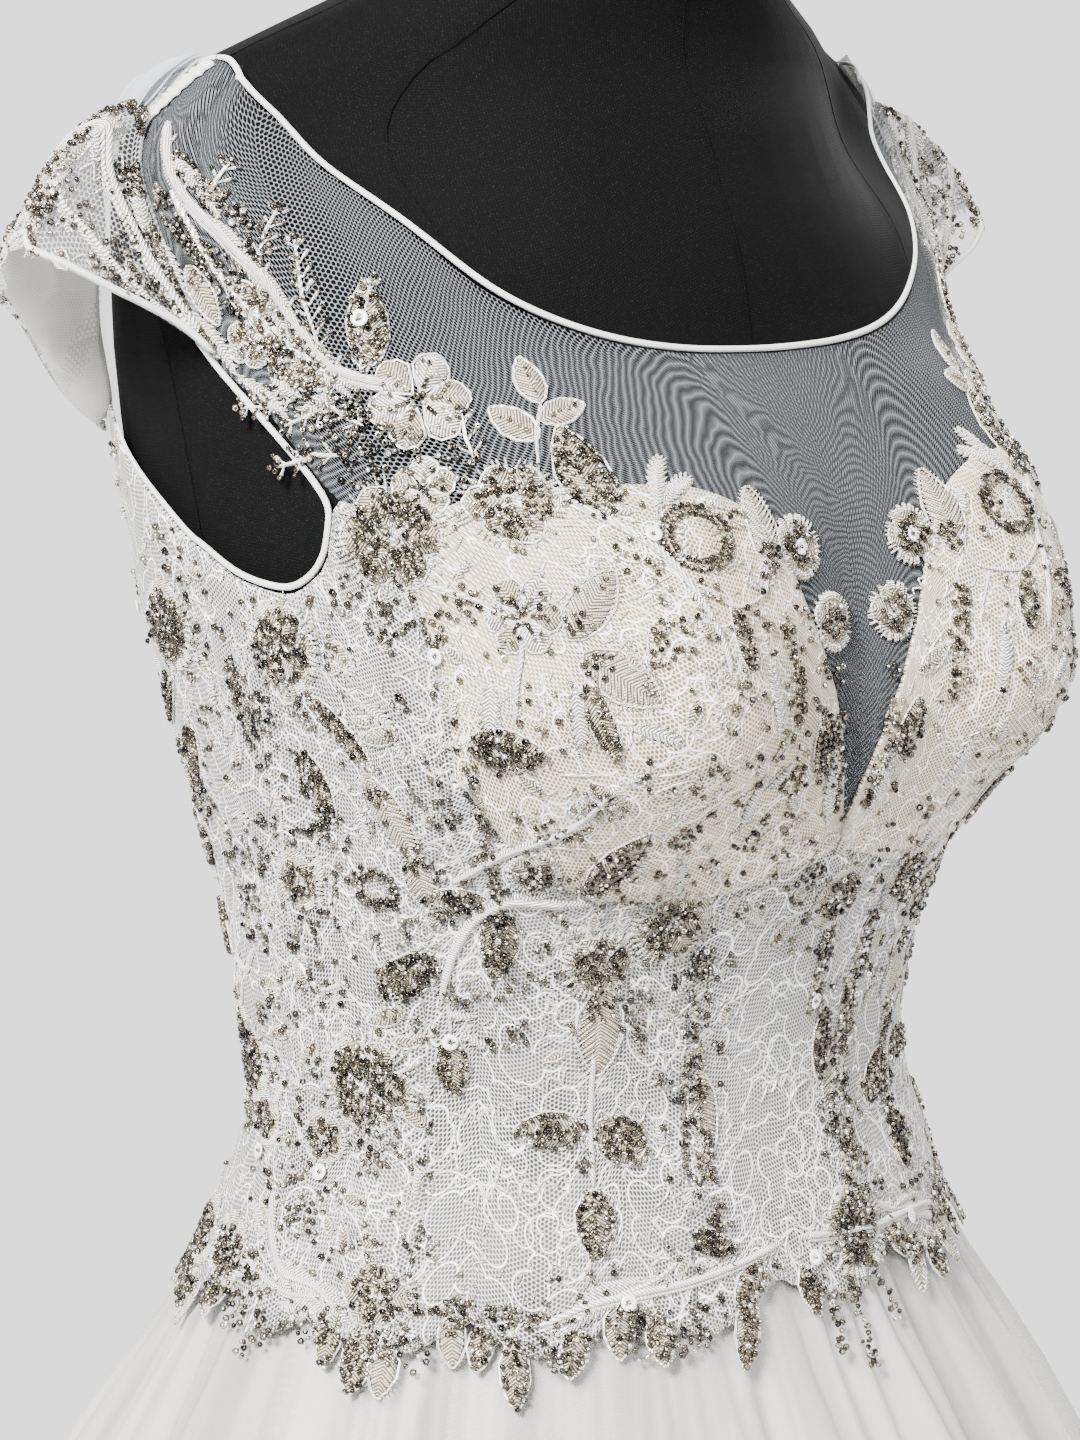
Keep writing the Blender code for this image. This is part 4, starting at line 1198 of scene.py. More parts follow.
# ---------------------------------------------------------------- embroidery and beads
@dataclass(frozen=True)
class Template:
    """A small mesh that is sewn on many times."""

    points: np.ndarray
    corners: np.ndarray
    starts: np.ndarray
    # one mark a point: 1 where the painted highlight in a bead's middle goes
    light: np.ndarray

    @classmethod
    def of(cls, shape: Callable[[bmesh.types.BMesh], None]) -> "Template":
        """Makes a template.

        Args:
            shape: builds it in an empty mesh.

        Returns:
            The template.
        """
        bm = bmesh.new()
        shape(bm)
        bmesh.ops.recalc_face_normals(bm, faces=bm.faces)
        bm.verts.index_update()
        points = np.array([v.co[:] for v in bm.verts])
        corners = [[v.index for v in face.verts] for face in bm.faces]
        bm.free()
        starts = np.cumsum([0] + [len(c) for c in corners])[:-1]
        # Points near the middle axis get the mark for the painted highlight in a bead's middle.
        light = (np.hypot(points[:, 0], points[:, 1]) < 0.5).astype(np.float32)
        return cls(points, np.concatenate(corners), starts, light)

    def repeated(self, name: str, points: np.ndarray, flat: np.ndarray | None = None,
                 tone: np.ndarray | None = None) -> bpy.types.Mesh:
        """Joins moved copies into one mesh.

        Args:
            name: the mesh's name.
            points: copies by points by 3.
            flat: cloth coordinates, copies by points by 2.
            tone: one number a copy; with it, every point also gets its mark for the painted
                highlight.

        Returns:
            The mesh.
        """
        copies, size = points.shape[:2]
        shift = np.arange(copies)[:, None]
        corners = (self.corners[None] + shift * size).ravel()
        starts = (self.starts[None] + shift * len(self.corners)).ravel()
        mesh = bpy.data.meshes.new(name)
        mesh.vertices.add(copies * size)
        mesh.vertices.foreach_set("co", points.astype(np.float32).ravel())
        mesh.loops.add(len(corners))
        mesh.loops.foreach_set("vertex_index", corners.astype(np.int32))
        mesh.polygons.add(len(starts))
        mesh.polygons.foreach_set("loop_start", starts.astype(np.int32))
        mesh.update(calc_edges=True)
        if flat is not None:
            lay_flat(mesh, flat.reshape(-1, 2))
        if tone is not None:
            mark = mesh.attributes.new("tone", "FLOAT", "POINT")
            mark.data.foreach_set("value", np.repeat(tone, size).astype(np.float32))
            # The mark for the painted highlight in each bead's middle.
            highlight_mark = mesh.attributes.new("light", "FLOAT", "POINT")
            highlight_mark.data.foreach_set("value", np.tile(self.light, copies))
        return mesh


def ring_bead(bm: bmesh.types.BMesh) -> None:
    """A round glass bead with a hole, of outer radius 1.

    Args:
        bm: the empty mesh to build it in.
    """
    bmesh.ops.create_circle(bm, segments=3, radius=0.40)
    bmesh.ops.rotate(bm, verts=bm.verts, matrix=Matrix.Rotation(math.pi / 2, 3, "X"))
    bmesh.ops.translate(bm, verts=bm.verts, vec=(0.66, 0, 0))
    bmesh.ops.scale(bm, verts=bm.verts, vec=(1, 1, 1.5))
    bmesh.ops.spin(bm, geom=bm.verts[:] + bm.edges[:], axis=(0, 0, 1), angle=2 * math.pi, steps=5)
    bmesh.ops.remove_doubles(bm, verts=bm.verts, dist=1e-3)


def cut_bead(bm: bmesh.types.BMesh) -> None:
    """A small faceted bead of radius 1."""
    bmesh.ops.create_icosphere(bm, subdivisions=1, radius=1)


def bugle_bead(bm: bmesh.types.BMesh) -> None:
    """A straight glass tube of radius 1 and length 2, lying along X."""
    bmesh.ops.create_cone(bm, cap_ends=True, segments=6, radius1=1, radius2=1, depth=2)
    bmesh.ops.rotate(bm, verts=bm.verts, matrix=Matrix.Rotation(math.pi / 2, 3, "Y"))


def sequin_disc(bm: bmesh.types.BMesh) -> None:
    """A cupped disc of radius 1 with a hole."""
    bmesh.ops.create_cone(bm, cap_ends=False, segments=14, radius1=0.16, radius2=1.0, depth=0.2)
    bmesh.ops.solidify(bm, geom=bm.faces[:], thickness=0.06)


def stitched_body(bm: bmesh.types.BMesh) -> None:
    """The ball that a leaf or petal is drawn out of."""
    bmesh.ops.create_uvsphere(bm, u_segments=6, v_segments=7, radius=1)


def single_stitch(bm: bmesh.types.BMesh) -> None:
    """The ball that one short thread is drawn out of."""
    bmesh.ops.create_uvsphere(bm, u_segments=4, v_segments=3, radius=1)


class Shape(Enum):
    """Where a leaf is widest: below 1 near its foot, above 1 near its tip."""

    LEAF = 0.85
    PETAL = 1.55
    THREAD = 1.0

    def width(self, share: float) -> float:
        """Returns: its width at a share of its length, from 0 to 1."""
        return math.sin(math.pi * share**self.value) ** BLUNTNESS


def bow(bend: float, length: float, share: float | np.ndarray) -> float | np.ndarray:
    """Returns: how far a bent leaf strays sideways at a share of its length."""
    return bend * length * 4 * share * (1 - share)


LeafRow = namedtuple("LeafRow", "a b u v heading length width rise shape bend")
BeadRow = namedtuple("BeadRow", "a b u v size tone lift heading")
Kind = namedtuple("Kind", "name template finish stretch tilt", defaults=((1, 1, 1), 0.0))
LEAF_KINDS = table(
    Kind, ("white_leaves", stitched_body, Finish.WHITE_LEAF),
    ("cream_leaves", stitched_body, Finish.CREAM_LEAF),
    ("white_stitches", single_stitch, Finish.WHITE_THREAD),
    ("cream_stitches", single_stitch, Finish.CREAM_THREAD),
)
BEAD_KINDS = table(
    Kind, ("beads", ring_bead, Finish.BEADS, (1, 1, 1), 0.45),
    ("cut_beads", cut_bead, Finish.BEADS, (1, 1, 0.85), 0.6),
    ("bugles", bugle_bead, Finish.BEADS, (1, 0.42, 0.42), 0.12),
    ("sequins", sequin_disc, Finish.SEQUINS, (1, 1, 1), 0.08),
)
MOST_BEADS_A_PIECE = 3600


@dataclass
class Stitchwork:
    """All that is sewn on one surface, kept as lists by kind until the meshes are made."""

    name: str
    chart: Chart
    rows: dict[str, list] = field(default_factory=lambda: defaultdict(list))
    cords: list = field(default_factory=list)

    def drape_leaves(self, kind: Kind) -> None:
        """Makes leaves, petals or stitches that follow the surface.

        Args:
            kind: what to make.
        """
        rows = self.rows[kind.name]
        if not rows:
            return
        template = Template.of(kind.template)
        r = LeafRow(*(np.array(column)[:, None] for column in zip(*rows)))
        x, y, z = (template.points[None, :, i] for i in range(3))
        s = (z + 1) / 2
        around = np.sqrt(np.maximum(1 - z * z, 0))
        safe = np.maximum(around, 1e-6)
        across, upward = (np.where(around > 1e-6, way / safe, 0) for way in (x, y))
        outline = np.maximum(np.sin(np.pi * s**r.shape), 0) ** BLUNTNESS
        side = across * outline * r.width / 2
        along = s * r.length
        sway = bow(r.bend, r.length, s)
        vein = 1 - VEIN_DEPTH * np.exp(-((across / 0.4) ** 2)) * (r.width > 3 * MM)
        lift = np.where(upward > 0, upward * vein, upward * 0.25) * outline * r.rise
        turn = np.radians(r.heading)
        u = r.u + np.cos(turn) * along - np.sin(turn) * (side + sway)
        v = r.v + np.sin(turn) * along + np.cos(turn) * (side + sway)
        a, b = self.chart.near(r.a, r.b, u, v)
        points = self.chart.at(a, b, lift + 0.25 * MM)
        flat = np.stack(np.broadcast_arrays(along, side), axis=-1)
        self.finished(kind.name, template.repeated(f"{self.name}_{kind.name}", points, flat),
                      kind.finish, len(rows))

    def finished(self, kind: str, mesh: bpy.types.Mesh, finish: Finish, count: int) -> None:
        """Adds one piece of the stitchwork to the scene.

        Args:
            kind: what it is, which ends its name.
            mesh: its mesh.
            finish: what it is made of.
            count: how many things are sewn on in it.
        """
        name = f"{self.name}_{kind}"
        dress_up(link(name, mesh), finish, "lace")
        LOG.info("%s: %d sewn on, %d faces", name, count, len(mesh.polygons))

    def set_beads(self, kind: Kind) -> None:
        """Sets beads on the surface, seed beads in several pieces.

        Args:
            kind: what to make.
        """
        rows = self.rows[kind.name]
        template = Template.of(kind.template)
        several = kind.name == "beads"
        most = MOST_BEADS_A_PIECE if several else max(len(rows), 1)
        for start in range(0, len(rows), most):
            part = rows[start:start + most]
            name = f"{kind.name}_{start // most + 1}" if several else kind.name
            points, tone = self.bead_points(part, template, kind)
            mesh = template.repeated(f"{self.name}_{name}", points, None, tone)
            self.finished(name, mesh, kind.finish, len(part))

    def bead_points(self, rows: list, template: Template, kind: Kind
                    ) -> tuple[np.ndarray, np.ndarray]:
        """Places beads on the surface.

        Args:
            rows: the beads.
            template: one bead.
            kind: how it is stretched, and how far it leans, in radians.

        Returns:
            Copies by points by 3, and each copy's tone.
        """
        rng = np.random.default_rng(SEED + len(rows))
        r = BeadRow(*(np.array(column) for column in zip(*rows)))
        a, b = self.chart.near(r.a, r.b, r.u, r.v)
        along, up, out = self.chart.frame(a, b)
        centre = self.chart.at(a, b, r.lift)
        turn = np.radians(r.heading)[:, None]
        first = along * np.cos(turn) + up * np.sin(turn)
        second = up * np.cos(turn) - along * np.sin(turn)
        lean = rng.normal(0, kind.tilt, (len(rows), 2))
        out = out + first * lean[:, :1] + second * lean[:, 1:]
        out /= np.linalg.norm(out, axis=-1, keepdims=True)
        first = first - out * (first * out).sum(-1, keepdims=True)
        first /= np.linalg.norm(first, axis=-1, keepdims=True)
        second = np.cross(out, first)
        shape = template.points * np.array(kind.stretch)
        size = r.size[:, None, None]
        points = centre[:, None] + size * (shape[None, :, :1] * first[:, None]
                                           + shape[None, :, 1:2] * second[:, None]
                                           + shape[None, :, 2:] * out[:, None])
        return points, r.tone

    def lay_cords(self, kind: str, finish: Finish) -> None:
        """Makes the raised cords and stems.

        Args:
            kind: what they are, which ends the piece's name.
            finish: what they are made of.
        """
        if not self.cords:
            return
        name = f"{self.name}_{kind}"
        curve = bpy.data.curves.new(name, "CURVE")
        curve.dimensions = "3D"
        curve.bevel_depth = 1.0
        curve.bevel_resolution = 0
        curve.use_fill_caps = True
        for a, b, u, v, radius in self.cords:
            a, b = self.chart.near(a, b, u, v)
            points = self.chart.at(a, b, radius * 0.5 + 0.1 * MM)
            spline = curve.splines.new("POLY")
            spline.points.add(len(points) - 1)
            spline.points.foreach_set("co", np.c_[points, np.ones(len(points))].ravel())
            ends = np.minimum(np.arange(len(points)), np.arange(len(points))[::-1])
            spline.points.foreach_set("radius", radius * np.where(ends < 1, 0.6, 1.0))
        holder = show(name, curve)
        mesh = bpy.data.meshes.new_from_object(holder)
        bpy.data.objects.remove(holder)
        mesh.name = name
        points = np.empty(len(mesh.vertices) * 3)
        mesh.vertices.foreach_get("co", points)
        points = points.reshape(-1, 3)
        lay_flat(mesh, np.stack([points[:, 0] + points[:, 1], points[:, 2]], axis=-1))
        self.finished(kind, mesh, finish, len(self.cords))

    def make(self) -> None:
        """Turns everything that was listed into pieces."""
        for kind in LEAF_KINDS:
            self.drape_leaves(kind)
        for kind in BEAD_KINDS:
            self.set_beads(kind)
        self.lay_cords("cords", Finish.WHITE_THREAD)


class Dice:
    """Random numbers, always the same ones in the same order."""

    def __init__(self, seed: int) -> None:
        """Starts them from a seed."""
        self.draw = np.random.default_rng(seed)

    def between(self, low: float, high: float) -> float:
        """Returns: a number between two others."""
        return float(self.draw.uniform(low, high))

    def stray(self, spread: float) -> float:
        """Returns: a number near 0."""
        return float(self.draw.normal(0, spread))

    def share(self) -> float:
        """Returns: a number from 0 to 1."""
        return self.draw.random()

    def one_of(self, *values: float) -> float:
        """Returns: one of the values."""
        return float(self.draw.choice(values))

    def whole(self, low: int, high: int) -> int:
        """Returns: a whole number, below the higher one."""
        return int(self.draw.integers(low, high))


class Needle:
    """A place and direction on a piece of stitchwork, from which motifs are drawn.

    Distances are in millimetres: x along the heading and y to its left, seen from outside.
    In every motif, dark is the share of dark beads.
    """

    dice = Dice(SEED)

    def __init__(self, work: Stitchwork, a: float, b: float, turn: float = 0.0,
                 mirrored: bool = False, x: float = 0.0, y: float = 0.0) -> None:
        """Puts the needle down.

        Args:
            work: the stitchwork.
            a: the first coordinate of its anchor.
            b: the second coordinate of its anchor.
            turn: its heading, in degrees.
            mirrored: draws everything the other way round.
            x: millimetres from the anchor along the surface.
            y: millimetres from the anchor up the surface.
        """
        self.work = work
        self.a, self.b = a, b
        self.turn, self.mirrored = turn, mirrored
        self.x, self.y = x, y

    def turned(self, x: float | np.ndarray, y: float | np.ndarray) -> tuple:
        """Returns: a drawn place in millimetres from the anchor, before it is mirrored."""
        c, s = math.cos(math.radians(self.turn)), math.sin(math.radians(self.turn))
        return self.x + (x * c - y * s), self.y + (x * s + y * c)

    def moved(self, x: float, y: float = 0.0, turn: float = 0.0) -> "Needle":
        """Returns: a needle at another place, turned further."""
        return Needle(self.work, self.a, self.b, self.turn + turn, self.mirrored,
                      *self.turned(x, y))

    def spot(self, x: float | np.ndarray, y: float | np.ndarray) -> tuple:
        """Returns: a drawn place as metres along and up the surface from the anchor."""
        u, v = self.turned(x, y)
        return (-u if self.mirrored else u) * MM, v * MM

    def heading(self, turn: float) -> float:
        """Returns: a drawn direction as a direction on the surface, in degrees."""
        total = self.turn + turn
        return 180 - total if self.mirrored else total

    def tone(self, dark: float) -> float:
        """Picks a bead's tone.

        Args:
            dark: how likely it is a dark one.

        Returns:
            The tone, from 0 (dark) to 1 (clear).
        """
        pick = self.dice.share()
        if pick < dark * 0.75:
            return self.dice.between(0.0, 0.34)
        if pick < 0.62 + dark * 0.22:
            return self.dice.between(0.3, 0.7)
        return self.dice.between(0.65, 1.0)

    def bead(self, x: float, y: float, dark: float = 0.5, size: float = 1.32, lift: float = 0.95
             ) -> None:
        """Sews on one seed bead.

        Args:
            x: where.
            y: where.
            dark: how likely it is a dark one.
            size: its radius.
            lift: how far its middle stands off the cloth.
        """
        place = self.spot(x, y)
        grow = self.dice.between(0.86, 1.12)
        cut = self.dice.share() < CUT_BEAD_SHARE
        self.work.rows["cut_beads" if cut else "beads"].append(
            BeadRow(self.a, self.b, *place, size * grow * (CUT_BEAD_SIZE if cut else 1.0) * MM,
                    self.tone(dark), lift * MM, self.dice.between(0, 360)))

    def bugle(self, x: float, y: float, turn: float, dark: float = 0.5, length: float = 3.6
              ) -> None:
        """Sews on one bugle bead, of a length in millimetres."""
        self.work.rows["bugles"].append(
            BeadRow(self.a, self.b, *self.spot(x, y), length / 2 * MM, self.tone(dark), 1.0 * MM,
                    self.heading(turn)))

    def sequin(self) -> None:
        """Sews on one sequin with a bead in its middle."""
        self.work.rows["sequins"].append(
            BeadRow(self.a, self.b, *self.spot(0.0, 0.0), SEQUIN_RADIUS, 0.9, 1.9 * MM, 0.0))
        self.bead(0.0, 0.0, 0.3, 0.75, 2.3)

    def leaf(self, length: float, width: float, x: float = 0.0, rise: float = 1.0,
             shape: Shape = Shape.LEAF, bend: float = 0.0, cream: bool = False) -> None:
        """Sews one solid leaf or petal.

        Args:
            length: its length.
            width: its width.
            x: where its foot is.
            rise: how high its middle stands.
            shape: where it is widest.
            bend: how far it curves to the left, as a share of its length.
            cream: sewn in cream instead of white.
        """
        self.sew("cream_leaves" if cream else "white_leaves", (x, 0.0), 0.0, length,
                 width, rise, shape, -bend if self.mirrored else bend)

    def stitch(self, length: float, x: float, y: float, turn: float, width: float = 0.8,
               cream: bool = True, rise: float = 0.55) -> None:
        """Sews one short thread.

        Args:
            length: its length.
            x: where it starts.
            y: where it starts.
            turn: its direction, in degrees.
            width: its width.
            cream: sewn in cream instead of white.
            rise: how high it stands.
        """
        self.sew("cream_stitches" if cream else "white_stitches", (x, y), turn, length, width,
                 rise, Shape.THREAD, 0.0)

    def sew(self, kind: str, place: tuple[float, float], turn: float, length: float,
            width: float, rise: float, shape: Shape, bend: float) -> None:
        """Lists one leaf or thread.

        Args:
            kind: which list.
            place: where its foot is.
            turn: its direction, in degrees.
            length: its length.
            width: its width.
            rise: how high its middle stands.
            shape: where it is widest.
            bend: how far it curves, as a share of its length.
        """
        self.work.rows[kind].append(
            LeafRow(self.a, self.b, *self.spot(*place), self.heading(turn),
                    length * MM, width * MM, rise * MM, shape.value, bend))

    def cord(self, x: Sequence[float], y: Sequence[float], radius: float = 0.4) -> None:
        """Lays one cord through drawn places."""
        place = self.spot(np.asarray(x, float), np.asarray(y, float))
        self.work.cords.append((self.a, self.b, *place, radius * MM))

    def outline(self, length: float, width: float, shape: Shape, radius: float) -> None:
        """Lays a cord round a leaf.

        Args:
            length: the leaf's length.
            width: its width.
            shape: where it is widest.
            radius: the cord's radius.
        """
        around = np.linspace(0, 2 * np.pi, 12)
        s = 0.5 - 0.5 * np.cos(around)
        wide = np.maximum(np.sin(np.pi * s**shape.value), 0) ** BLUNTNESS * width / 2
        self.cord(s * length, np.sign(np.sin(around)) * wide, radius)

    def bead_row(self, x: float, half: float, pitch: float, bare: float, stray: float,
                 dark: float, lift: float) -> None:
        """Sews a row of beads across a leaf or petal.

        Args:
            x: where the row is.
            half: half of its width.
            pitch: distance between two beads.
            bare: share of places that stay empty.
            stray: how far beads lie off their places.
            dark: how many are dark.
            lift: how far their middles stand off the cloth.
        """
        count = max(int(2 * half / pitch) + 1, 1)
        for j in range(count):
            if self.dice.share() < bare:
                continue
            y = 0 if count == 1 else -half + 2 * half * j / (count - 1)
            aside = self.dice.stray(stray), self.dice.stray(stray)
            self.bead(x + aside[0], y + aside[1], dark, lift=lift)

    # ------------------------------------------------------------ motifs
    def thread_leaf(self, length: float, width: float, bend: float = 0.06) -> None:
        """A white satin-stitched leaf with a fringe of threads from its vein.

        Args:
            length: its length.
            width: its width.
            bend: how far it curves to the left, as a share of its length.
        """
        self.leaf(length, width * 0.8, rise=1.3, bend=bend)
        self.cord(np.linspace(-0.12, 1, 7) * length, bow(bend, length, np.linspace(0, 1, 7)), 0.45)
        pairs = max(int(length / 2.6), 3)
        for k in range(pairs):
            s = (k + 0.5) / (pairs + 0.3)
            wide = Shape.LEAF.width(s) * width / 2
            for side in (1, -1):
                self.stitch(wide * 1.35 + 1.2, s * length - 1.0, side * 0.3 + bow(bend, length, s),
                            side * 34, 0.95, cream=False, rise=1.5)

    def feather_leaf(self, length: float, width: float, dark: float = 0.0) -> None:
        """An open leaf drawn with rows of threads, and beads at its foot.

        Args:
            length: its length.
            width: its width.
            dark: share of dark beads; 0 leaves the beads out.
        """
        self.leaf(length * 0.96, width * 0.9, rise=0.7, cream=True)
        self.outline(length, width, Shape.LEAF, 0.5)
        pairs = max(int(length / 2.1), 3)
        for k in range(pairs):
            s = (k + 0.6) / (pairs + 0.4)
            wide = Shape.LEAF.width(s) * width / 2
            for side in (1, -1):
                self.stitch(wide * 1.25 + 1, s * length - 1.2, side * 0.4, side * 48, 0.9,
                            cream=k % 2 == 0, rise=1.1)
        if dark:
            self.moved(length * 0.22).cluster(width * 0.32, int(width * 0.9), dark)

    def bead_leaf(self, length: float, width: float, dark: float = 0.6) -> None:
        """A leaf filled with rows of beads.

        Args:
            length: its length.
            width: its width.
            dark: share of dark beads at its foot.
        """
        self.leaf(length, width, rise=0.8, cream=True)
        self.outline(length * 1.02, width * 1.06, Shape.LEAF, 0.5)
        pitch = 2.25
        for k in range(int(length / pitch)):
            s = (k + 0.6) * pitch / length
            if s <= 0.97:
                self.bead_row(s * length, Shape.LEAF.width(s) * (width / 2 - 0.9), pitch, 0.10,
                              0.28, dark * (1.15 - 0.5 * s), 1.35)

    def cluster(self, radius: float, count: int, dark: float = 0.5) -> None:
        """Loose beads in a round patch.

        Args:
            radius: the patch's radius.
            count: how many beads, where there is room.
            dark: share of dark beads.
        """
        spots: list[tuple[float, float]] = []
        for _ in range(count * 6):
            if len(spots) >= count:
                break
            reach, turn = radius * math.sqrt(self.dice.share()), self.dice.between(0, 6.283)
            x, y = reach * math.cos(turn), reach * math.sin(turn)
            if all((x - p) ** 2 + (y - q) ** 2 > 5.0 for p, q in spots):
                spots.append((x, y))
                self.bead(x, y, dark)

    def bloom(self, radius: float, petals: int = 6, dark: float = 0.3) -> None:
        """A scalloped flower: rounded petals with white rims, radiating threads and a beaded eye.

        Args:
            radius: its radius.
            petals: how many petals.
            dark: share of dark beads.
        """
        for k in range(petals):
            petal = self.moved(0, 0, 360 / petals * k + self.dice.stray(3))
            wide = 2 * math.pi * radius * 0.62 / petals * 1.12
            petal.leaf(radius * 0.86, wide, radius * 0.12, rise=1.1, shape=Shape.PETAL,
                       cream=k % 2 == 0)
            petal.moved(radius * 0.12).outline(radius * 0.88, wide * 1.04, Shape.PETAL, 0.55)
            for fan in (-22, -8, 8, 22):
                petal.moved(0, 0, fan).stitch(radius * 0.5, radius * 0.40, 0, 0, 0.8, rise=1.45)
            petal.bugle(radius * 0.34, 0, 0, dark, min(3.6, radius * 0.3))
            for _ in range(int(radius / 4)):
                petal.bead(radius * self.dice.between(0.45, 0.8),
                           self.dice.between(-0.4, 0.4) * wide, dark * 0.6, 0.95, 1.6)
        self.cluster(max(radius * 0.2, 2.2), 6, dark)

    def rosette(self, radius: float, dark: float = 0.65) -> None:
        """A flower thick with beads, inside a fringe of threads.

        Args:
            radius: its radius.
            dark: share of dark beads.
        """
        petals = 6 if radius > 11 else 5
        pitch = 2.4
        wide = 2 * math.pi * radius * 0.62 / petals * 1.15
        for k in range(petals):
            petal = self.moved(0, 0, 360 / petals * k + self.dice.stray(4))
            long = radius * self.dice.between(0.88, 1.04)
            petal.leaf(long * 0.92, wide, radius * 0.06, rise=1.3, shape=Shape.PETAL, cream=True)
            petal.moved(radius * 0.06).outline(long * 0.95, wide * 1.06, Shape.PETAL, 0.5)
            for fan in np.linspace(-0.42, 0.42, 7) * 360 / petals:
                petal.moved(0, 0, float(fan)).stitch(
                    long * 0.42, long * 0.76, 0, self.dice.stray(10), 1.1,
                    cream=bool(self.dice.share() < 0.25), rise=1.7)
            for row in range(int(long * 0.72 / pitch)):
                x = radius * 0.26 + row * pitch
                half = Shape.PETAL.width(min(x / long, 0.98)) * wide / 2 * 0.82
                petal.bead_row(x, half, pitch, 0.12, 0.3, dark * (1.35 - 0.8 * x / long), 1.8)
        self.cluster(radius * 0.24, int(radius * 0.5), dark * 0.5)

    def ring_flower(self, radius: float, dark: float = 0.7) -> None:
        """A wreath of beads round a plain middle.

        Args:
            radius: its radius.
            dark: share of dark beads.
        """
        for reach in (radius * 0.72, radius * 0.95):
            count = int(2 * math.pi * reach / 2.5)
            for k in range(count):
                turn = 2 * math.pi * k / count
                self.bead(reach * math.cos(turn), reach * 0.85 * math.sin(turn), dark)
        for k in range(18):
            self.moved(0, 0, 20 * k).stitch(radius * 0.4, radius * 0.3, 0, 12, 0.6, rise=0.5)

    def twig(self, length: float, dark: float = 0.3) -> None:
        """A short beaded twig with buds on both sides.

        Args:
            length: its length.
            dark: share of dark beads.
        """
        self.cord([0, length * 0.5, length], [0, length * 0.05, 0], 0.8)
        pairs = max(int(length / 4.5), 2)
        for k in range(pairs):
            x = length * (k + 0.7) / pairs
            reach = 3.4 * (1.15 - 0.5 * k / pairs)
            for side in (1, -1):
                self.cord([x - 1.5, x + reach * 0.6], [0, side * reach], 0.55)
                self.stitch(3.2, x - 0.4, side * 1.2, side * 50, 1.3, cream=False, rise=1.2)
                self.bead(x + reach * 0.6, side * (reach + 0.6), dark, 1.0, 1.0)
                if self.dice.share() < 0.5:
                    self.bugle(x + reach * 0.3, side * reach * 0.6, side * 55, dark, 2.6)
        self.cluster(1.6, 2, dark)
        self.moved(length + 0.8).cluster(1.9, 4, dark)

    def sprig(self, size: float) -> None:
        """A stem with three outlined, lightly beaded leaves.

        Args:
            size: the stem's length.
        """
        self.cord([0, size * 0.5, size], [0, size * 0.05, 0], 0.8)
        for x, turn, scale in ((1.0, 26, 1.0), (0.72, -58, 0.95), (0.42, 62, 1.05)):
            leaf = self.moved(size * x, 0, turn)
            length, width = 0.82 * size * scale, 0.46 * size * scale
            leaf.leaf(length, width, rise=0.9, cream=True)
            leaf.outline(length, width, Shape.LEAF, 0.6)
            for k in range(4):
                leaf.bead(length * (0.25 + 0.17 * k), self.dice.stray(0.6), 0.3, 0.95, 1.4)
                for side in (1, -1):
                    leaf.stitch(width * 0.45, length * (0.15 + 0.17 * k), side * 0.2, side * 50,
                                0.7, rise=1.2)

    def scallops(self, lobes: int, depth: float, bend: float = 0.0, radius: float = 0.36) -> None:
        """A fine cord that runs in a chain of rounded lobes.

        Args:
            lobes: how many.
            depth: how deep they are.
            bend: how strongly the chain curves.
            radius: the cord's radius.
        """
        xs, ys = [], []
        t = np.linspace(0, np.pi, 8)[:-1]
        for k in range(lobes):
            wide = depth * self.dice.between(0.8, 1.25)
            xs.extend(k * depth * 1.5 + depth * 0.75 * (1 - np.cos(t))
                      + 0.2 * depth * np.sin(2 * t))
            ys.extend(wide * np.sin(t) + bend * (k + t / np.pi) ** 2)
        self.cord(xs, ys, radius)

    def curl(self, length: float, bend: float, radius: float = 0.4) -> None:
        """A fine curved line that ends in a hook."""
        s = np.linspace(0, 1, 9)
        self.cord(length * s, bend * length * s * s + 0.12 * length * np.sin(np.pi * s), radius)

    def bead_strip(self, length: float, width: float, dark: float = 0.5) -> None:
        """A band of beads with a few threads between them.

        Args:
            length: its length.
            width: its width.
            dark: share of dark beads.
        """
        pitch = 2.4
        for k in range(int(length / pitch)):
            for j in range(max(int(width / pitch), 1)):
                x, y = (k + 0.5) * pitch, (j + 0.5) * pitch - width / 2
                if self.dice.share() < 0.75:
                    aside = self.dice.stray(0.5), self.dice.stray(0.5)
                    self.bead(x + aside[0], y + aside[1], dark)
                if self.dice.share() < 0.35:
                    self.stitch(3.4, x, y, self.dice.stray(25), 0.9, rise=0.9)

    def drip(self, length: float, dark: float = 0.4) -> None:
        """A string of beads that widens to a drop.

        Args:
            length: the string's length.
            dark: share of dark beads.
        """
        pitch = 2.4
        count = int(length / pitch)
        for k in range(count):
            self.bead(k * pitch, self.dice.stray(0.7), dark, lift=1.0)
            if k % 2:
                self.bead(k * pitch, self.dice.one_of(-2.2, 2.2), dark, lift=1.0)
        self.moved(count * pitch).cluster(2.8, 5, dark)


class Motif(Enum):
    """Motifs by name, and the needle's way of drawing them."""

    BLOOM = "bloom"
    ROSETTE = "rosette"
    RING = "ring_flower"
    THREAD_LEAF = "thread_leaf"
    FEATHER = "feather_leaf"
    BEAD_LEAF = "bead_leaf"
    CLUSTER = "cluster"
    TWIG = "twig"
    SPRIG = "sprig"
    STRIP = "bead_strip"
    DRIP = "drip"
    SEQUIN = "sequin"

    def draw(self, needle: Needle, *sizes: float) -> None:
        """Draws the motif, with the sizes that its own method takes."""
        getattr(needle, self.value)(*sizes)

    @property
    def centred(self) -> bool:
        """Returns: whether it is drawn round its place and not away from it."""
        return self in (Motif.BLOOM, Motif.ROSETTE, Motif.RING, Motif.CLUSTER, Motif.SEQUIN)


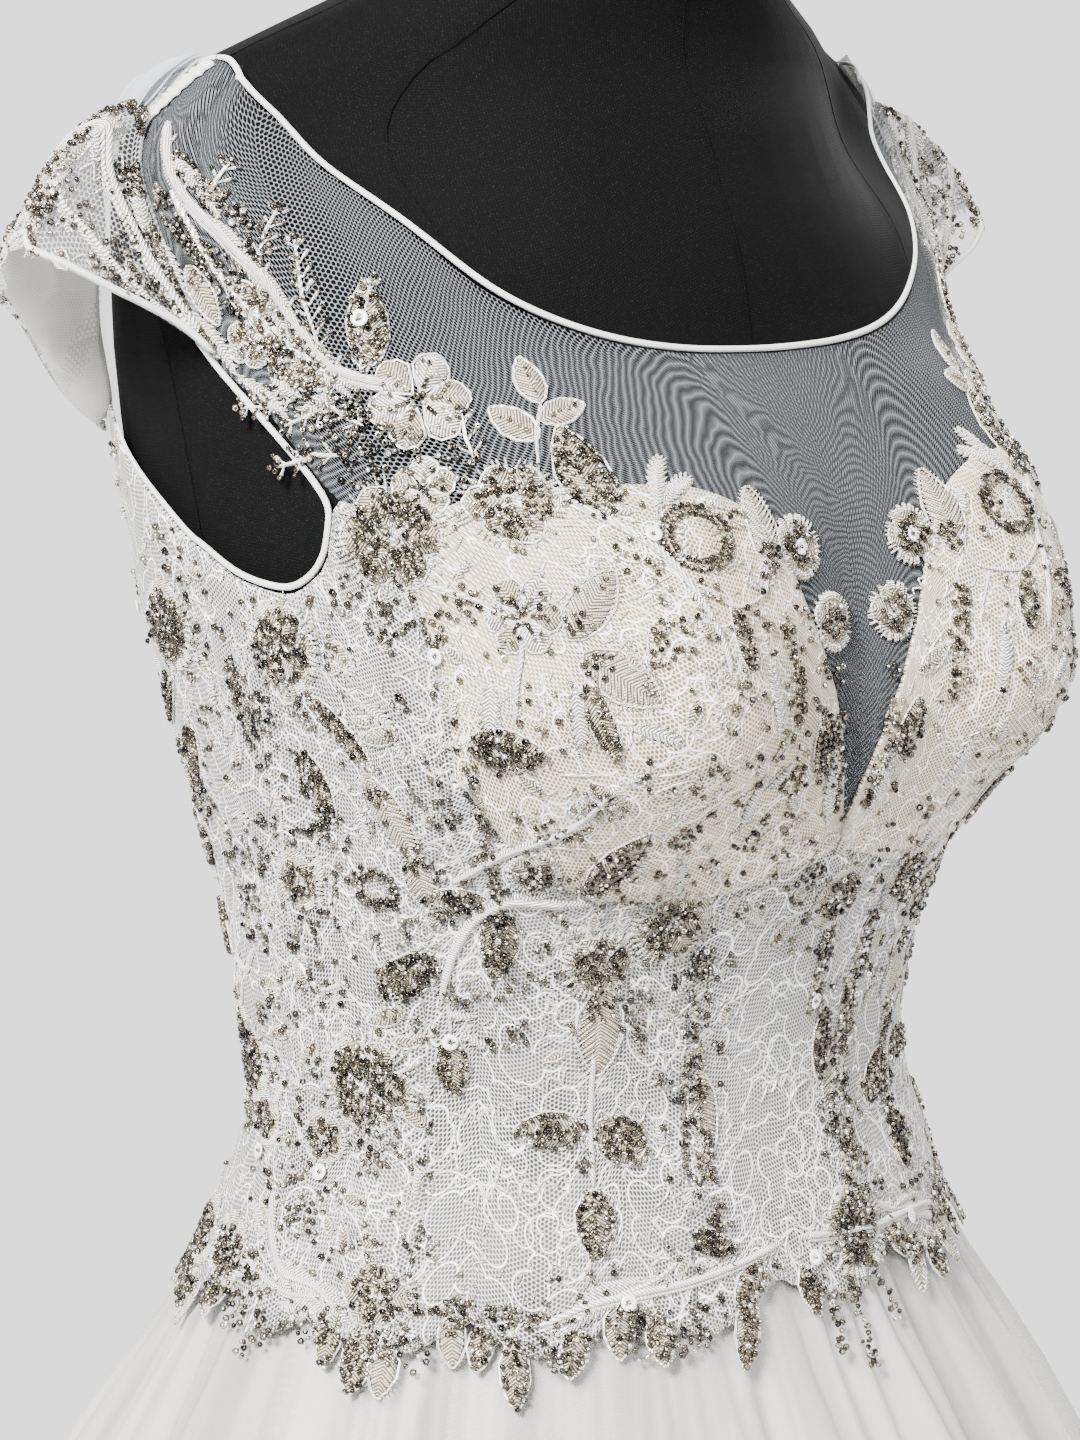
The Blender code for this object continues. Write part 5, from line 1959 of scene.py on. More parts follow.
Spot = namedtuple("Spot", "motif angle height turn sizes")
Stem = namedtuple("Stem", "radius places")


def spots(*rows: tuple) -> tuple[Spot, ...]:
    """Returns: places of motifs, from rows of motif, angle, height, turn and then the sizes."""
    return tuple(Spot(*row[:4], row[4:]) for row in rows)


# ---------------------------------------------------------------- where the motifs go
M = Motif
# The wearer's right half of the front, which the left half repeats the other way round.
FRONT = spots(
    (M.BLOOM, -49.5, 1.306, 12, 17.0, 6, 0.35), (M.SPRIG, -38.6, 1.287, 84, 22.0),
    (M.ROSETTE, -44.0, 1.276, 0, 15.5, 0.62), (M.BEAD_LEAF, -34.0, 1.27, 108, 37, 18, 0.7),
    (M.THREAD_LEAF, -27.5, 1.272, 66, 24, 8), (M.THREAD_LEAF, -26.4, 1.273, 38, 20, 7),
    (M.RING, -24.0, 1.264, 0, 14.0, 0.75), (M.SEQUIN, -30.0, 1.265, 0),
    (M.ROSETTE, -60.5, 1.266, 0, 18.5, 0.7), (M.BLOOM, -54.0, 1.28, 20, 10.5, 5, 0.3),
    (M.BEAD_LEAF, -59.5, 1.312, 150, 27, 15, 0.3), (M.BLOOM, -70.5, 1.325, 0, 8.5, 5, 0.2),
    (M.TWIG, -66.5, 1.307, 188, 20, 0.2), (M.TWIG, -67.5, 1.29, 197, 13, 0.2),
    (M.TWIG, -55.5, 1.314, 84, 31, 0.3), (M.TWIG, -60.0, 1.322, 104, 36, 0.3),
    (M.TWIG, -66.0, 1.35, 70, 20, 0.4), (M.TWIG, -72.0, 1.368, 60, 15, 0.4),
    (M.THREAD_LEAF, -79.5, 1.382, -46, 27, 7), (M.THREAD_LEAF, -73.5, 1.364, -50, 26, 8),
    (M.THREAD_LEAF, -67.5, 1.347, -62, 25, 7), (M.THREAD_LEAF, -62.5, 1.328, -50, 22, 6),
    (M.THREAD_LEAF, -85.5, 1.36, -64, 27, 6), (M.THREAD_LEAF, -80.0, 1.334, -50, 25, 6),
    (M.THREAD_LEAF, -74.5, 1.314, -35, 22, 5), (M.FEATHER, -72.0, 1.345, -42, 24, 10, 0.4),
    (M.FEATHER, -79.0, 1.349, -60, 22, 9, 0.4), (M.FEATHER, -66.5, 1.325, -35, 22, 10, 0.4),
    (M.STRIP, -84.0, 1.374, -50, 60, 8, 0.4), (M.STRIP, -72.5, 1.329, -38, 34, 6, 0.4),
    (M.BEAD_LEAF, -53.4, 1.317, 97, 27, 13, 0.4), (M.SEQUIN, -53.4, 1.332, 0),
    (M.STRIP, -78.5, 1.383, -40, 46, 9, 0.6), (M.STRIP, -67.0, 1.356, -62, 38, 7, 0.5),
    (M.STRIP, -77.0, 1.36, -42, 42, 9, 0.4), (M.CLUSTER, -66.5, 1.333, 0, 7, 12, 0.4),
    (M.CLUSTER, -60.5, 1.299, 0, 9, 22, 0.3), (M.CLUSTER, -55.5, 1.291, 0, 10, 26, 0.3),
    (M.CLUSTER, -48.5, 1.287, 0, 8, 16, 0.3), (M.TWIG, -46.0, 1.288, 105, 16, 0.3),
    (M.TWIG, -64.5, 1.318, 235, 16, 0.3), (M.TWIG, -61.5, 1.306, 205, 17, 0.3),
    (M.TWIG, -58.0, 1.299, 150, 14, 0.3), (M.TWIG, -63.0, 1.29, 175, 13, 0.2),
    (M.CLUSTER, -63.0, 1.304, 0, 7, 14, 0.4), (M.CLUSTER, -57.0, 1.305, 0, 6, 11, 0.4),
    (M.CLUSTER, -65.5, 1.324, 0, 6, 12, 0.5), (M.CLUSTER, -62.0, 1.286, 0, 6, 11, 0.4),
    (M.THREAD_LEAF, -60.5, 1.31, 215, 15, 6), (M.THREAD_LEAF, -65.5, 1.308, 150, 12, 5),
    (M.FEATHER, -13.5, 1.25, 82, 33, 16, 0.8), (M.ROSETTE, -7.3, 1.258, 0, 10.0, 0.75),
    (M.SEQUIN, -7.3, 1.258, 0), (M.ROSETTE, -3.8, 1.234, 10, 9.5, 0.7),
    (M.CLUSTER, -3.4, 1.216, 0, 4, 5, 0.4), (M.BEAD_LEAF, -22.5, 1.224, 96, 22, 8, 0.6),
    (M.CLUSTER, -33.0, 1.235, 0, 8, 18, 0.8), (M.STRIP, -13.0, 1.24, -82, 42, 8, 0.6),
    (M.THREAD_LEAF, -17.5, 1.205, 96, 26, 6), (M.THREAD_LEAF, -16.5, 1.172, 92, 24, 5),
    (M.BEAD_LEAF, -5.5, 1.185, 96, 24, 10, 0.8), (M.STRIP, -3.6, 1.206, -80, 40, 8, 0.75),
    (M.THREAD_LEAF, -2.5, 1.168, 96, 26, 6), (M.SEQUIN, -59.5, 1.23, 0),
    (M.BLOOM, -48.0, 1.243, 0, 13, 6, 0.7), (M.FEATHER, -44.0, 1.236, 58, 29, 15, 0.8),
    (M.FEATHER, -43.0, 1.232, -32, 30, 15, 0.8), (M.CLUSTER, -59.0, 1.238, 0, 5, 9, 0.8),
    (M.THREAD_LEAF, -54.0, 1.223, -95, 19, 9), (M.BEAD_LEAF, -58.0, 1.204, -8, 27, 14, 0.7),
    (M.THREAD_LEAF, -45.0, 1.222, -85, 23, 7), (M.BEAD_LEAF, -43.6, 1.224, -68, 30, 8, 0.75),
    (M.THREAD_LEAF, -40.0, 1.211, -20, 19, 6), (M.ROSETTE, -79.5, 1.229, 0, 15, 0.72),
    (M.STRIP, -88.0, 1.222, -75, 40, 8, 0.6), (M.BEAD_LEAF, -77.0, 1.214, -48, 32, 8, 0.6),
    (M.CLUSTER, -84.5, 1.205, 0, 8, 16, 0.75), (M.BEAD_LEAF, -80.0, 1.195, -70, 28, 12, 0.65),
    (M.CLUSTER, -76.3, 1.168, 0, 8, 16, 0.75), (M.ROSETTE, -82.0, 1.148, 0, 10, 0.72),
    (M.STRIP, -57.5, 1.196, -88, 66, 6, 0.5), (M.FEATHER, -72.0, 1.19, -65, 36, 14, 0.6),
    (M.BEAD_LEAF, -61.0, 1.146, 8, 22, 11, 0.75), (M.ROSETTE, -46.0, 1.16, 0, 9, 0.75),
    (M.BEAD_LEAF, -37.5, 1.152, 58, 35, 13, 0.65), (M.BEAD_LEAF, -49.0, 1.146, -95, 28, 13, 0.7),
    (M.BEAD_LEAF, -57.5, 1.126, 212, 27, 14, 0.75), (M.ROSETTE, -21.5, 1.137, 0, 14, 0.7),
    (M.BLOOM, -41.0, 1.187, 0, 9, 6, 0.4), (M.RING, -69.0, 1.15, 0, 8, 0.6),
    (M.FEATHER, -64.5, 1.165, -80, 24, 12, 0.5), (M.ROSETTE, -71.5, 1.078, 0, 17, 0.72),
    (M.ROSETTE, -81.0, 1.057, 0, 9.5, 0.72), (M.SEQUIN, -81.0, 1.045, 0),
    (M.BEAD_LEAF, -55.5, 1.098, -88, 21, 11, 0.2), (M.SEQUIN, -55.5, 1.097, 0),
    (M.FEATHER, -31.0, 1.115, -90, 33, 17, 1.0), (M.ROSETTE, -32.0, 1.124, 0, 12, 0.75),
    (M.BEAD_LEAF, -33.0, 1.063, 176, 25, 13, 0.7), (M.BEAD_LEAF, -31.0, 1.066, -42, 24, 16, 0.7),
    (M.BEAD_LEAF, -32.0, 1.043, -90, 24, 14, 0.65), (M.CLUSTER, -33.0, 1.052, 0, 3.5, 5, 0.6),
    (M.CLUSTER, -69.0, 1.056, 0, 9, 17, 0.3), (M.ROSETTE, -100.0, 1.01, 0, 12, 0.7),
    (M.ROSETTE, -66.0, 1.009, 0, 12.5, 0.7), (M.THREAD_LEAF, -88.0, 1.013, -18, 34, 10),
    (M.THREAD_LEAF, -84.0, 1.0, -2, 26, 8), (M.CLUSTER, -62.5, 0.993, 0, 6, 12, 0.5),
    (M.STRIP, -62.0, 1.008, -3, 66, 9, 0.3), (M.THREAD_LEAF, -22.5, 1.009, 200, 42, 13, -0.12),
    (M.SEQUIN, -27.0, 1.004, 0), (M.CLUSTER, -26.0, 0.992, 0, 7, 11, 0.5),
    (M.STRIP, -15.0, 1.126, -88, 112, 11, 0.5), (M.FEATHER, -14.0, 1.08, -80, 32, 12, 0.4),
    (M.BEAD_LEAF, 8.5, 1.094, -86, 30, 8, 0.75), (M.BEAD_LEAF, -17.0, 1.023, -20, 22, 9, 0.7),
)
# The middle of the front, drawn once.
CENTRE = spots(
    (M.ROSETTE, 3.5, 1.138, 0, 12, 0.75), (M.SEQUIN, 5.0, 1.098, 0),
    (M.ROSETTE, 12.0, 1.009, 0, 16, 0.8), (M.SEQUIN, 9.0, 1.025, 0), (M.SEQUIN, 3.0, 1.005, 0),
    (M.BEAD_LEAF, -5.0, 1.008, 214, 18, 10, 0.35), (M.BEAD_LEAF, 1.0, 1.004, -82, 19, 9, 0.35),
    (M.BEAD_LEAF, -8.0, 0.999, -112, 25, 10, 0.2), (M.DRIP, 4.0, 0.998, -88, 26, 0.4),
    (M.DRIP, 9.0, 0.994, -94, 30, 0.4), (M.DRIP, 14.5, 0.996, -80, 20, 0.4),
    (M.BEAD_LEAF, 20.0, 1.004, -38, 22, 10, 0.2), (M.THREAD_LEAF, 14.5, 1.084, -100, 34, 9),
    (M.CLUSTER, 12.0, 1.052, 0, 8, 13, 0.7), (M.THREAD_LEAF, -16.0, 1.006, 8, 30, 6),
    (M.CLUSTER, -20.0, 0.99, 0, 6, 9, 0.5), (M.STRIP, 30.0, 1.09, -88, 70, 10, 0.6),
    (M.STRIP, 4.5, 1.125, -84, 34, 8, 0.6),
)
# The caps' motifs, by angle and share of the way from the edge to the shoulder.
CAP_SPOTS = spots(
    (M.THREAD_LEAF, 80.5, 0.8, 150, 20, 6), (M.THREAD_LEAF, 84, 0.9, 165, 26, 8),
    (M.THREAD_LEAF, 88, 0.62, 175, 26, 8), (M.THREAD_LEAF, 92, 0.35, 185, 24, 7),
    (M.THREAD_LEAF, 86, 0.3, 165, 24, 6), (M.FEATHER, 97, 0.75, 200, 26, 11, 0.5),
    (M.FEATHER, 103, 0.5, 215, 26, 11, 0.5), (M.ROSETTE, 90, 0.14, 0, 8, 0.5),
    (M.ROSETTE, 104, 0.25, 0, 9, 0.6), (M.CLUSTER, 81, 0.97, 0, 6, 14, 0.5),
    (M.CLUSTER, 84, 1.0, 0, 6, 14, 0.5), (M.CLUSTER, 87, 1.0, 0, 6, 14, 0.5),
    (M.CLUSTER, 90, 1.0, 0, 6, 14, 0.6), (M.CLUSTER, 78.5, 0.9, 0, 5, 10, 0.5),
    (M.CLUSTER, 93, 1.0, 0, 6, 14, 0.6), (M.CLUSTER, 96, 1.0, 0, 6, 12, 0.6),
    (M.BLOOM, 110, 0.6, 0, 9, 6, 0.4), (M.BLOOM, 96, 0.3, 0, 8, 5, 0.4),
    (M.THREAD_LEAF, 107, 0.8, 210, 24, 8),
)
STEMS = table(
    Stem,
    (1.7, ((-82, 1.392), (-76.5, 1.371), (-70, 1.356), (-65.5, 1.345), (-62, 1.328),
     (-58.5, 1.316), (-53, 1.311))),
    (1.1, ((-79, 1.372), (-74, 1.35), (-69, 1.336), (-64, 1.324), (-60, 1.313))),
    (0.9, ((-58, 1.252), (-52, 1.246), (-49, 1.238), (-51, 1.222), (-52, 1.212))),
    (1.0, ((-38, 1.276), (-33, 1.268), (-29, 1.258), (-27, 1.24), (-26, 1.226))),
    (0.7, ((-27, 1.25), (-22, 1.243), (-16, 1.246), (-14, 1.256))),
    (1.1, ((-57, 1.155), (-50, 1.168), (-44, 1.177), (-41, 1.19))),
    (1.3, ((-57, 1.112), (-55, 1.13), (-52, 1.143), (-47, 1.149), (-40, 1.148))),
    (0.8, ((-55.5, 1.1), (-56, 1.112), (-57, 1.124))),
    (1.0, ((-32, 1.09), (-32.3, 1.068), (-31.8, 1.045))),
    (0.8, ((-31, 1.126), (-28, 1.135), (-25, 1.141))),
    (1.4, ((-91, 1.034), (-88.5, 1.02), (-84, 1.01), (-78, 1.009), (-73, 1.003))),
    (1.3, ((-40, 1.0), (-33, 1.0045), (-26, 1.0065), (-18, 1.0075), (-10, 1.01), (-3, 1.013))),
    (1.0, ((-84, 1.118), (-80, 1.11), (-75.5, 1.113))),
    (0.9, ((-98, 1.016), (-90, 1.008), (-82, 1.004), (-74, 1.006))),
    (0.8, ((-19, 1.015), (-23, 1.01), (-30, 1.006), (-37, 0.998))),
    (0.5, ((-66, 1.215), (-63, 1.196), (-61, 1.18), (-56, 1.16))),
    (0.5, ((-86, 1.195), (-84, 1.17), (-85, 1.14), (-84, 1.12))),
    (0.5, ((-80, 1.135), (-76, 1.12), (-77, 1.105), (-74, 1.095))),
)
CAP_STEMS = table(
    Stem, (1.5, ((99, 0.36), (94, 0.52), (89, 0.7), (84, 0.8), (79, 0.92))),
    (1.2, ((96, 0.1), (91, 0.2), (86, 0.36), (81, 0.5), (78, 0.66))),
    (0.8, ((108, 0.3), (104, 0.5), (100, 0.68), (96, 0.84))),
)
# Clear windows of net with nothing but fine corded scallops: angles, then heights.
Window = namedtuple("Window", "left right low high")
WINDOWS = table(
    Window, (-58, -21, 1.018, 1.092), (-10, 9, 1.018, 1.116), (21, 58, 1.018, 1.092),
    (125, 158, 1.018, 1.1), (-158, -125, 1.018, 1.1),
)


def waist_edge(angle: np.ndarray) -> np.ndarray:
    """Returns: the lace's lower edge, in soft leaf-shaped points over the skirt."""
    points = np.abs(np.sin(np.radians(angle) * HEM_SCALLOPS / 2 + 0.4))
    return WAIST_SEAM_HEIGHT - HEM_SCALLOP_DEPTH * points


def by_place(angle: np.ndarray, cup: Sequence[Edge], armhole: Sequence[Edge]) -> np.ndarray:
    """Returns: the height of one edge over the cups, another at the armhole, then the back's."""
    size = np.abs(angle)
    side = np.where(size < ARMHOLE_BACK_ANGLE, edge_height(armhole, angle),
                    edge_height(BACK_TOP, angle))
    return np.where(size < CUP_OUTER_ANGLE, edge_height(cup, angle), side)


def lace_top(angle: np.ndarray) -> np.ndarray:
    """Returns: the height where the opaque part of the bodice ends."""
    return by_place(angle, CUP_TOP, ARMHOLE_LOW)


def lace_body_top(angle: np.ndarray) -> np.ndarray:
    """Returns: the top of the lace panels, which the cups stand on."""
    return by_place(angle, CUP_BOTTOM, ARMHOLE_LOW)


def yoke_bottom(angle: np.ndarray) -> np.ndarray:
    """Returns: the yoke's lower edge: the cups' top, the armhole, then the back lace's top."""
    return by_place(angle, CUP_TOP, ARMHOLE_HIGH)


def neckline(angle: np.ndarray) -> np.ndarray:
    """Returns: the neckline's height."""
    return edge_height(NECKLINE, angle)


def in_window(angle: float, height: float) -> bool:
    """Returns: whether a place lies in one of the clear windows."""
    return any(w.left < angle < w.right and w.low < height < w.high for w in WINDOWS)


# ---------------------------------------------------------------- the dress, part by part
Panel = namedtuple("Panel", "node low high bottom top rows thickness outer finish slot")
SIDES = ((1, "left"), (-1, "right"))


@dataclass(frozen=True)
class Bodice:
    """The lace panels, the padded cups and the see-through yoke."""

    degrees_a_column: float = 1.5
    inset: float = 0.02
    lace_shell: float = 1.1 * MM
    cup_shell: float = 1.6 * MM
    net_shell: float = 0.25 * MM

    def panels(self) -> list[Panel]:
        """Returns: every cut piece of the bodice."""
        lace = (waist_edge, lace_body_top, 30, self.lace_shell, PANEL_THICKNESS,
                Finish.LACE_GROUND, "lace")
        cup = (lambda angle: edge_height(CUP_BOTTOM, angle), lace_top, 26, self.cup_shell,
               CUP_THICKNESS, Finish.CUP_GROUND, "padding")
        net = (yoke_bottom, neckline, 20, self.net_shell, NET_THICKNESS, Finish.YOKE_NET, "net")
        found = [Panel("bodice_front_centre", -PRINCESS_ANGLE, PRINCESS_ANGLE, *lace),
                 Panel("yoke_front", -SIDE_SEAM_ANGLE, SIDE_SEAM_ANGLE, *net)]
        for side, word in SIDES:
            for stem, low, high, rest in (
                    ("bodice_front", PRINCESS_ANGLE, CUP_OUTER_ANGLE, lace),
                    ("bodice_side", CUP_OUTER_ANGLE, SIDE_SEAM_ANGLE, lace),
                    ("bodice_side_back", SIDE_SEAM_ANGLE, BACK_SEAM_ANGLE, lace),
                    ("bodice_back", BACK_SEAM_ANGLE, CLOSURE_ANGLE, lace),
                    ("cup", 0, CUP_OUTER_ANGLE, cup),
                    ("yoke_back", SIDE_SEAM_ANGLE, CLOSURE_ANGLE, net)):
                ends = (low, high) if side > 0 else (-high, -low)
                found.append(Panel(f"{stem}_{word}", *ends, *rest))
        return found

    def build(self) -> None:
        """Makes every panel in place of its solid."""
        for panel in self.panels():
            count = int(round((panel.high - panel.low) / self.degrees_a_column)) + 1
            angle = np.linspace(panel.low + self.inset, panel.high - self.inset, count)
            low, high = panel.bottom(angle), panel.top(angle)
            height = low + (high - low) * np.linspace(0, 1, panel.rows)[:, None]
            angle = angle + 0 * height
            lift = bodice_lift(angle, height) + panel.outer + relief(angle, height)
            Cloth(f"{panel.node}_cloth", lifted(cloth_point, angle, height, lift), panel.finish,
                  panel.slot, panel.thickness, replaces=(panel.node,)).build()


@dataclass(frozen=True)
class CapSleeves:
    """The two cap sleeves, with a frayed lace edge."""

    rows: int = 16
    columns: int = 60
    shell: float = 0.35 * MM
    fold_shell: float = 0.2 * MM
    tape_radius: float = 1.25 * MM

    @staticmethod
    def surface(side: int) -> Callable:
        """The outside of one cap.

        Args:
            side: 1 for the wearer's left, -1 for the right.

        Returns:
            Points for an angle and a share of the way from the edge to the shoulder.
        """
        spread = LEFT_CAP_SPREAD if side > 0 else 1.0

        def point(angle: np.ndarray, share: np.ndarray) -> np.ndarray:
            """Points of this cap.

            Args:
                angle: angles in degrees.
                share: shares of the way from the edge to the shoulder.

            Returns:
                The points.
            """
            size = np.abs(angle)
            height, reach, edge = (smooth_value(CAP, column, size, key="angle")
                                   for column in ("root", "reach", "edge"))
            lift = bodice_lift(size, height) + NET_THICKNESS + 4 * SEAM_GAP
            inside = height + np.maximum(share - 1, 0) * 0.08
            root = lifted(cloth_point, size, inside, lift)
            out = np.maximum(1 - share, 0)
            drop, ahead = height - edge, reach * spread
            inner = root + np.stack([ahead * out, 0 * out, -drop * out**CAP_BEND], axis=-1)
            slope = np.arctan2(drop * CAP_BEND * out ** (CAP_BEND - 1), ahead)
            upward = np.stack([np.sin(slope), 0 * slope, np.cos(slope)], axis=-1)
            return (inner + upward * PANEL_THICKNESS) * np.array([side, 1, 1])

        return point

    def build(self) -> None:
        """Makes both caps with their embroidery."""
        for side, word in SIDES:
            surface = self.surface(side)
            low, high = sorted((side * CAP[0].angle, side * CAP[-1].angle))
            angle, share = np.meshgrid(np.linspace(low, high, self.columns),
                                       np.linspace(0, 1.1, self.rows))
            Cloth(f"cap_sleeve_{word}_cloth", surface(angle, share), Finish.SLEEVE_NET, "lace",
                  self.shell, held="hung", rests_on=(f"yoke_back_{word}_cloth",),
                  replaces=(f"cap_sleeve_{word}",)).build()
            self.inner_fold(side, word)
            chart = Chart.of(surface, (low, high, 0.5), (-0.12, 0.98, 0.02))
            self.embroider(Stitchwork(f"cap_{word}", chart), side)

    def embroider(self, work: Stitchwork, side: int) -> None:
        """Sews lace, beads and a frayed edge on one cap.

        Args:
            work: the cap's stitchwork.
            side: 1 for the wearer's left, -1 for the right.
        """
        dice = Dice(SEED + 5 * side)
        flip = side > 0
        for spot in CAP_SPOTS:
            spot.motif.draw(Needle(work, side * spot.angle, spot.height, spot.turn, flip),
                            *spot.sizes)
        for angle in np.arange(79, 118, 2.2):
            for share in (0.12, 0.34, 0.56, 0.78, 0.96):
                needle = Needle(work, side * float(angle + dice.stray(0.8)),
                                share + dice.stray(0.05), dice.between(0, 360), flip)
                pick = dice.share()
                if pick < 0.58:
                    needle.cluster(5.0, 10, 0.6)
                elif pick < 0.7:
                    needle.feather_leaf(10, 5, 0.4)
                elif pick < 0.85:
                    needle.thread_leaf(11, 3.5)
                else:
                    needle.scallops(3, 4.0)
        for angle in np.arange(86, 118, 0.5):
            edge = Needle(work, side * angle, 0.02, -90 + dice.stray(22), flip)
            edge.stitch(dice.between(3.0, 6.0), 0, 0, 0, 0.7, cream=False, rise=0.6)
            if dice.share() < 0.6:
                edge.bead(dice.between(-2.0, 1.6), 0, 0.6)
        for stem in CAP_STEMS:
            lay_stem(work, stem, lambda angle: side * angle)
        work.make()
        tape = Stitchwork(work.name, work.chart)
        steps = np.linspace(76.8, 104, 70)
        tape.cords.append((side * steps, 0.01 + 0 * steps, 0 * steps, 0 * steps, self.tape_radius))
        tape.lay_cords("edge_tape", Finish.BINDING)

    def inner_fold(self, side: int, word: str) -> None:
        """A plain fold of tulle under the back half of one cap.

        Args:
            side: 1 for the wearer's left, -1 for the right.
            word: the side's name.
        """
        angle, share = np.meshgrid(np.sort(side * np.linspace(97, 117, 34)),
                                   np.linspace(0.06, 0.98, 14))
        inward = 2.6 + 2.2 * np.sin(np.abs(angle) * 0.85 + share * 6)
        drop = np.stack([-side * 0.7 + 0 * share, 0 * share, -0.7 + 0 * share], axis=-1)
        Cloth(f"cap_fold_{word}", self.surface(side)(angle, share) + drop * inward[..., None] * MM,
              Finish.FOLD_TULLE, "net", self.fold_shell, held="folded",
              rests_on=(f"cap_sleeve_{word}_cloth",)).build()


@dataclass(frozen=True)
class Trim:
    """The white bindings of the neckline and armholes, and the folded shoulder seams."""

    room: float = BINDING_RADIUS + 1.6 * SEAM_GAP
    half_width: float = 1.3 * MM
    rise: float = 1.3 * MM
    base: float = 0.6 * MM
    fold_half_width: float = 3.2 * MM
    fold_rise: float = 1.9 * MM
    shell: float = 0.5 * MM
    strap_shell: float = 0.2 * MM

    def ribbon(self, name: str, node: str, angles: np.ndarray, heights: np.ndarray, aside: float,
               steps: int = 160, rounding: int = 0, folded: bool = False) -> None:
        """Sews a narrow rounded tape along a line on the body.

        Args:
            name: the piece's name.
            node: the solid it replaces.
            angles: the line's angles.
            heights: the line's heights.
            aside: how far the tape's middle keeps to the line's left.
            steps: columns along it.
            rounding: how often the line's corners are evened out.
            folded: makes it an uneven fold of tulle and not a flat binding.
        """
        half_width, rise, base, lumps, finish = (
            (self.fold_half_width, self.fold_rise, NET_THICKNESS + 0.2 * MM, 0.3, Finish.FOLD_TULLE)
            if folded else (self.half_width, self.rise, self.base, 0.0, Finish.BINDING))
        turn = np.linspace(0, 1, len(angles))
        fine = np.linspace(0, 1, steps)
        angles, heights = np.interp(fine, turn, angles), np.interp(fine, turn, heights)
        for _ in range(rounding):
            for line in (angles, heights):
                line[1:-1] = 0.25 * line[:-2] + 0.5 * line[1:-1] + 0.25 * line[2:]
        lift = bodice_lift(angles, heights)
        edge = lifted(cloth_point, angles, heights, lift)
        normal = (lifted(cloth_point, angles, heights, lift + MM) - edge) / MM
        along = np.gradient(edge, axis=0)
        sideways = np.cross(normal, along)
        sideways /= np.linalg.norm(sideways, axis=-1, keepdims=True)
        across = np.linspace(-1, 1, 9)[:, None]
        wide = half_width * (1 + lumps * np.sin(fine * 39) * 0.4)
        offset = aside + wide * across * (1 - 0.12 * across**2)
        tall = base + rise * np.sqrt(np.maximum(1 - (across * 0.97) ** 2, 0)) * (
            1 + lumps * np.sin(fine * 61 + across * 3))
        points = edge[None] + sideways[None] * offset[..., None] + normal[None] * tall[..., None]
        Cloth(name, points, finish, "binding", self.shell, replaces=(node,),
              rests_on=("yoke_front_cloth",)).build()

    def build(self) -> None:
        """Makes every binding and seam."""
        front = np.linspace(-SIDE_SEAM_ANGLE + 0.2, SIDE_SEAM_ANGLE - 0.2, 181)
        self.ribbon("neck_tape_front", "neck_binding_front", front, neckline(front), self.room,
                    260, 24)
        low = np.concatenate([[79.5, 76.5, 72, 69], np.arange(66, 111, 1.5)])
        high = np.concatenate([edge_height(ARMHOLE_HIGH, low[:4]),
                               edge_height(ARMHOLE_LOW, low[4:])])
        for side, word in SIDES:
            back = np.sort(side * np.linspace(SIDE_SEAM_ANGLE + 0.2, CLOSURE_ANGLE - 0.2, 91))
            self.ribbon(f"neck_tape_back_{word}", f"neck_binding_back_{word}", back, neckline(back),
                        self.room)
            self.ribbon(f"armhole_tape_{word}", f"armhole_binding_{word}", side * low, high,
                        side * self.room, rounding=30)
            heights = np.linspace(1.3915, SHOULDER_HEIGHT - 0.0015, 12)
            self.ribbon(f"shoulder_fold_{word}", f"shoulder_seam_{word}",
                        side * np.linspace(91.5, 87.0, 12), heights, 0.0, 40, folded=True)
            self.strap_layers(side, word)

    def strap_layers(self, side: int, word: str) -> None:
        """Loose layers of plain tulle over the back of a strap, sewn into the shoulder seam.

        Args:
            side: 1 for the wearer's left, -1 for the right.
            word: the side's name.
        """
        for number, (reach, lift) in enumerate(((16, 2.0), (15, 4.0), (13, 6.0))):
            angle = SIDE_SEAM_ANGLE + np.linspace(0.8, reach, 26)
            low, high = edge_height(ARMHOLE_HIGH, angle) + 1 * MM, neckline(angle) - 1 * MM
            height = low + (high - low) * np.linspace(0, 1, 16)[:, None]
            angle = angle + 0 * height
            if side < 0:
                angle, height = -angle[:, ::-1], height[:, ::-1]
            wave = (0.5 * np.sin(height * 420 + number * 2)
                    + 0.4 * np.sin(np.abs(angle) * 0.9 + number))
            points = lifted(cloth_point, angle, height,
                            bodice_lift(angle, height) + NET_THICKNESS + (lift + wave) * MM)
            Cloth(f"strap_tulle_{word}_{number + 1}", points, Finish.STRAP_TULLE, "net",
                  self.strap_shell, held="laid", rests_on=(f"yoke_back_{word}_cloth",)).build()


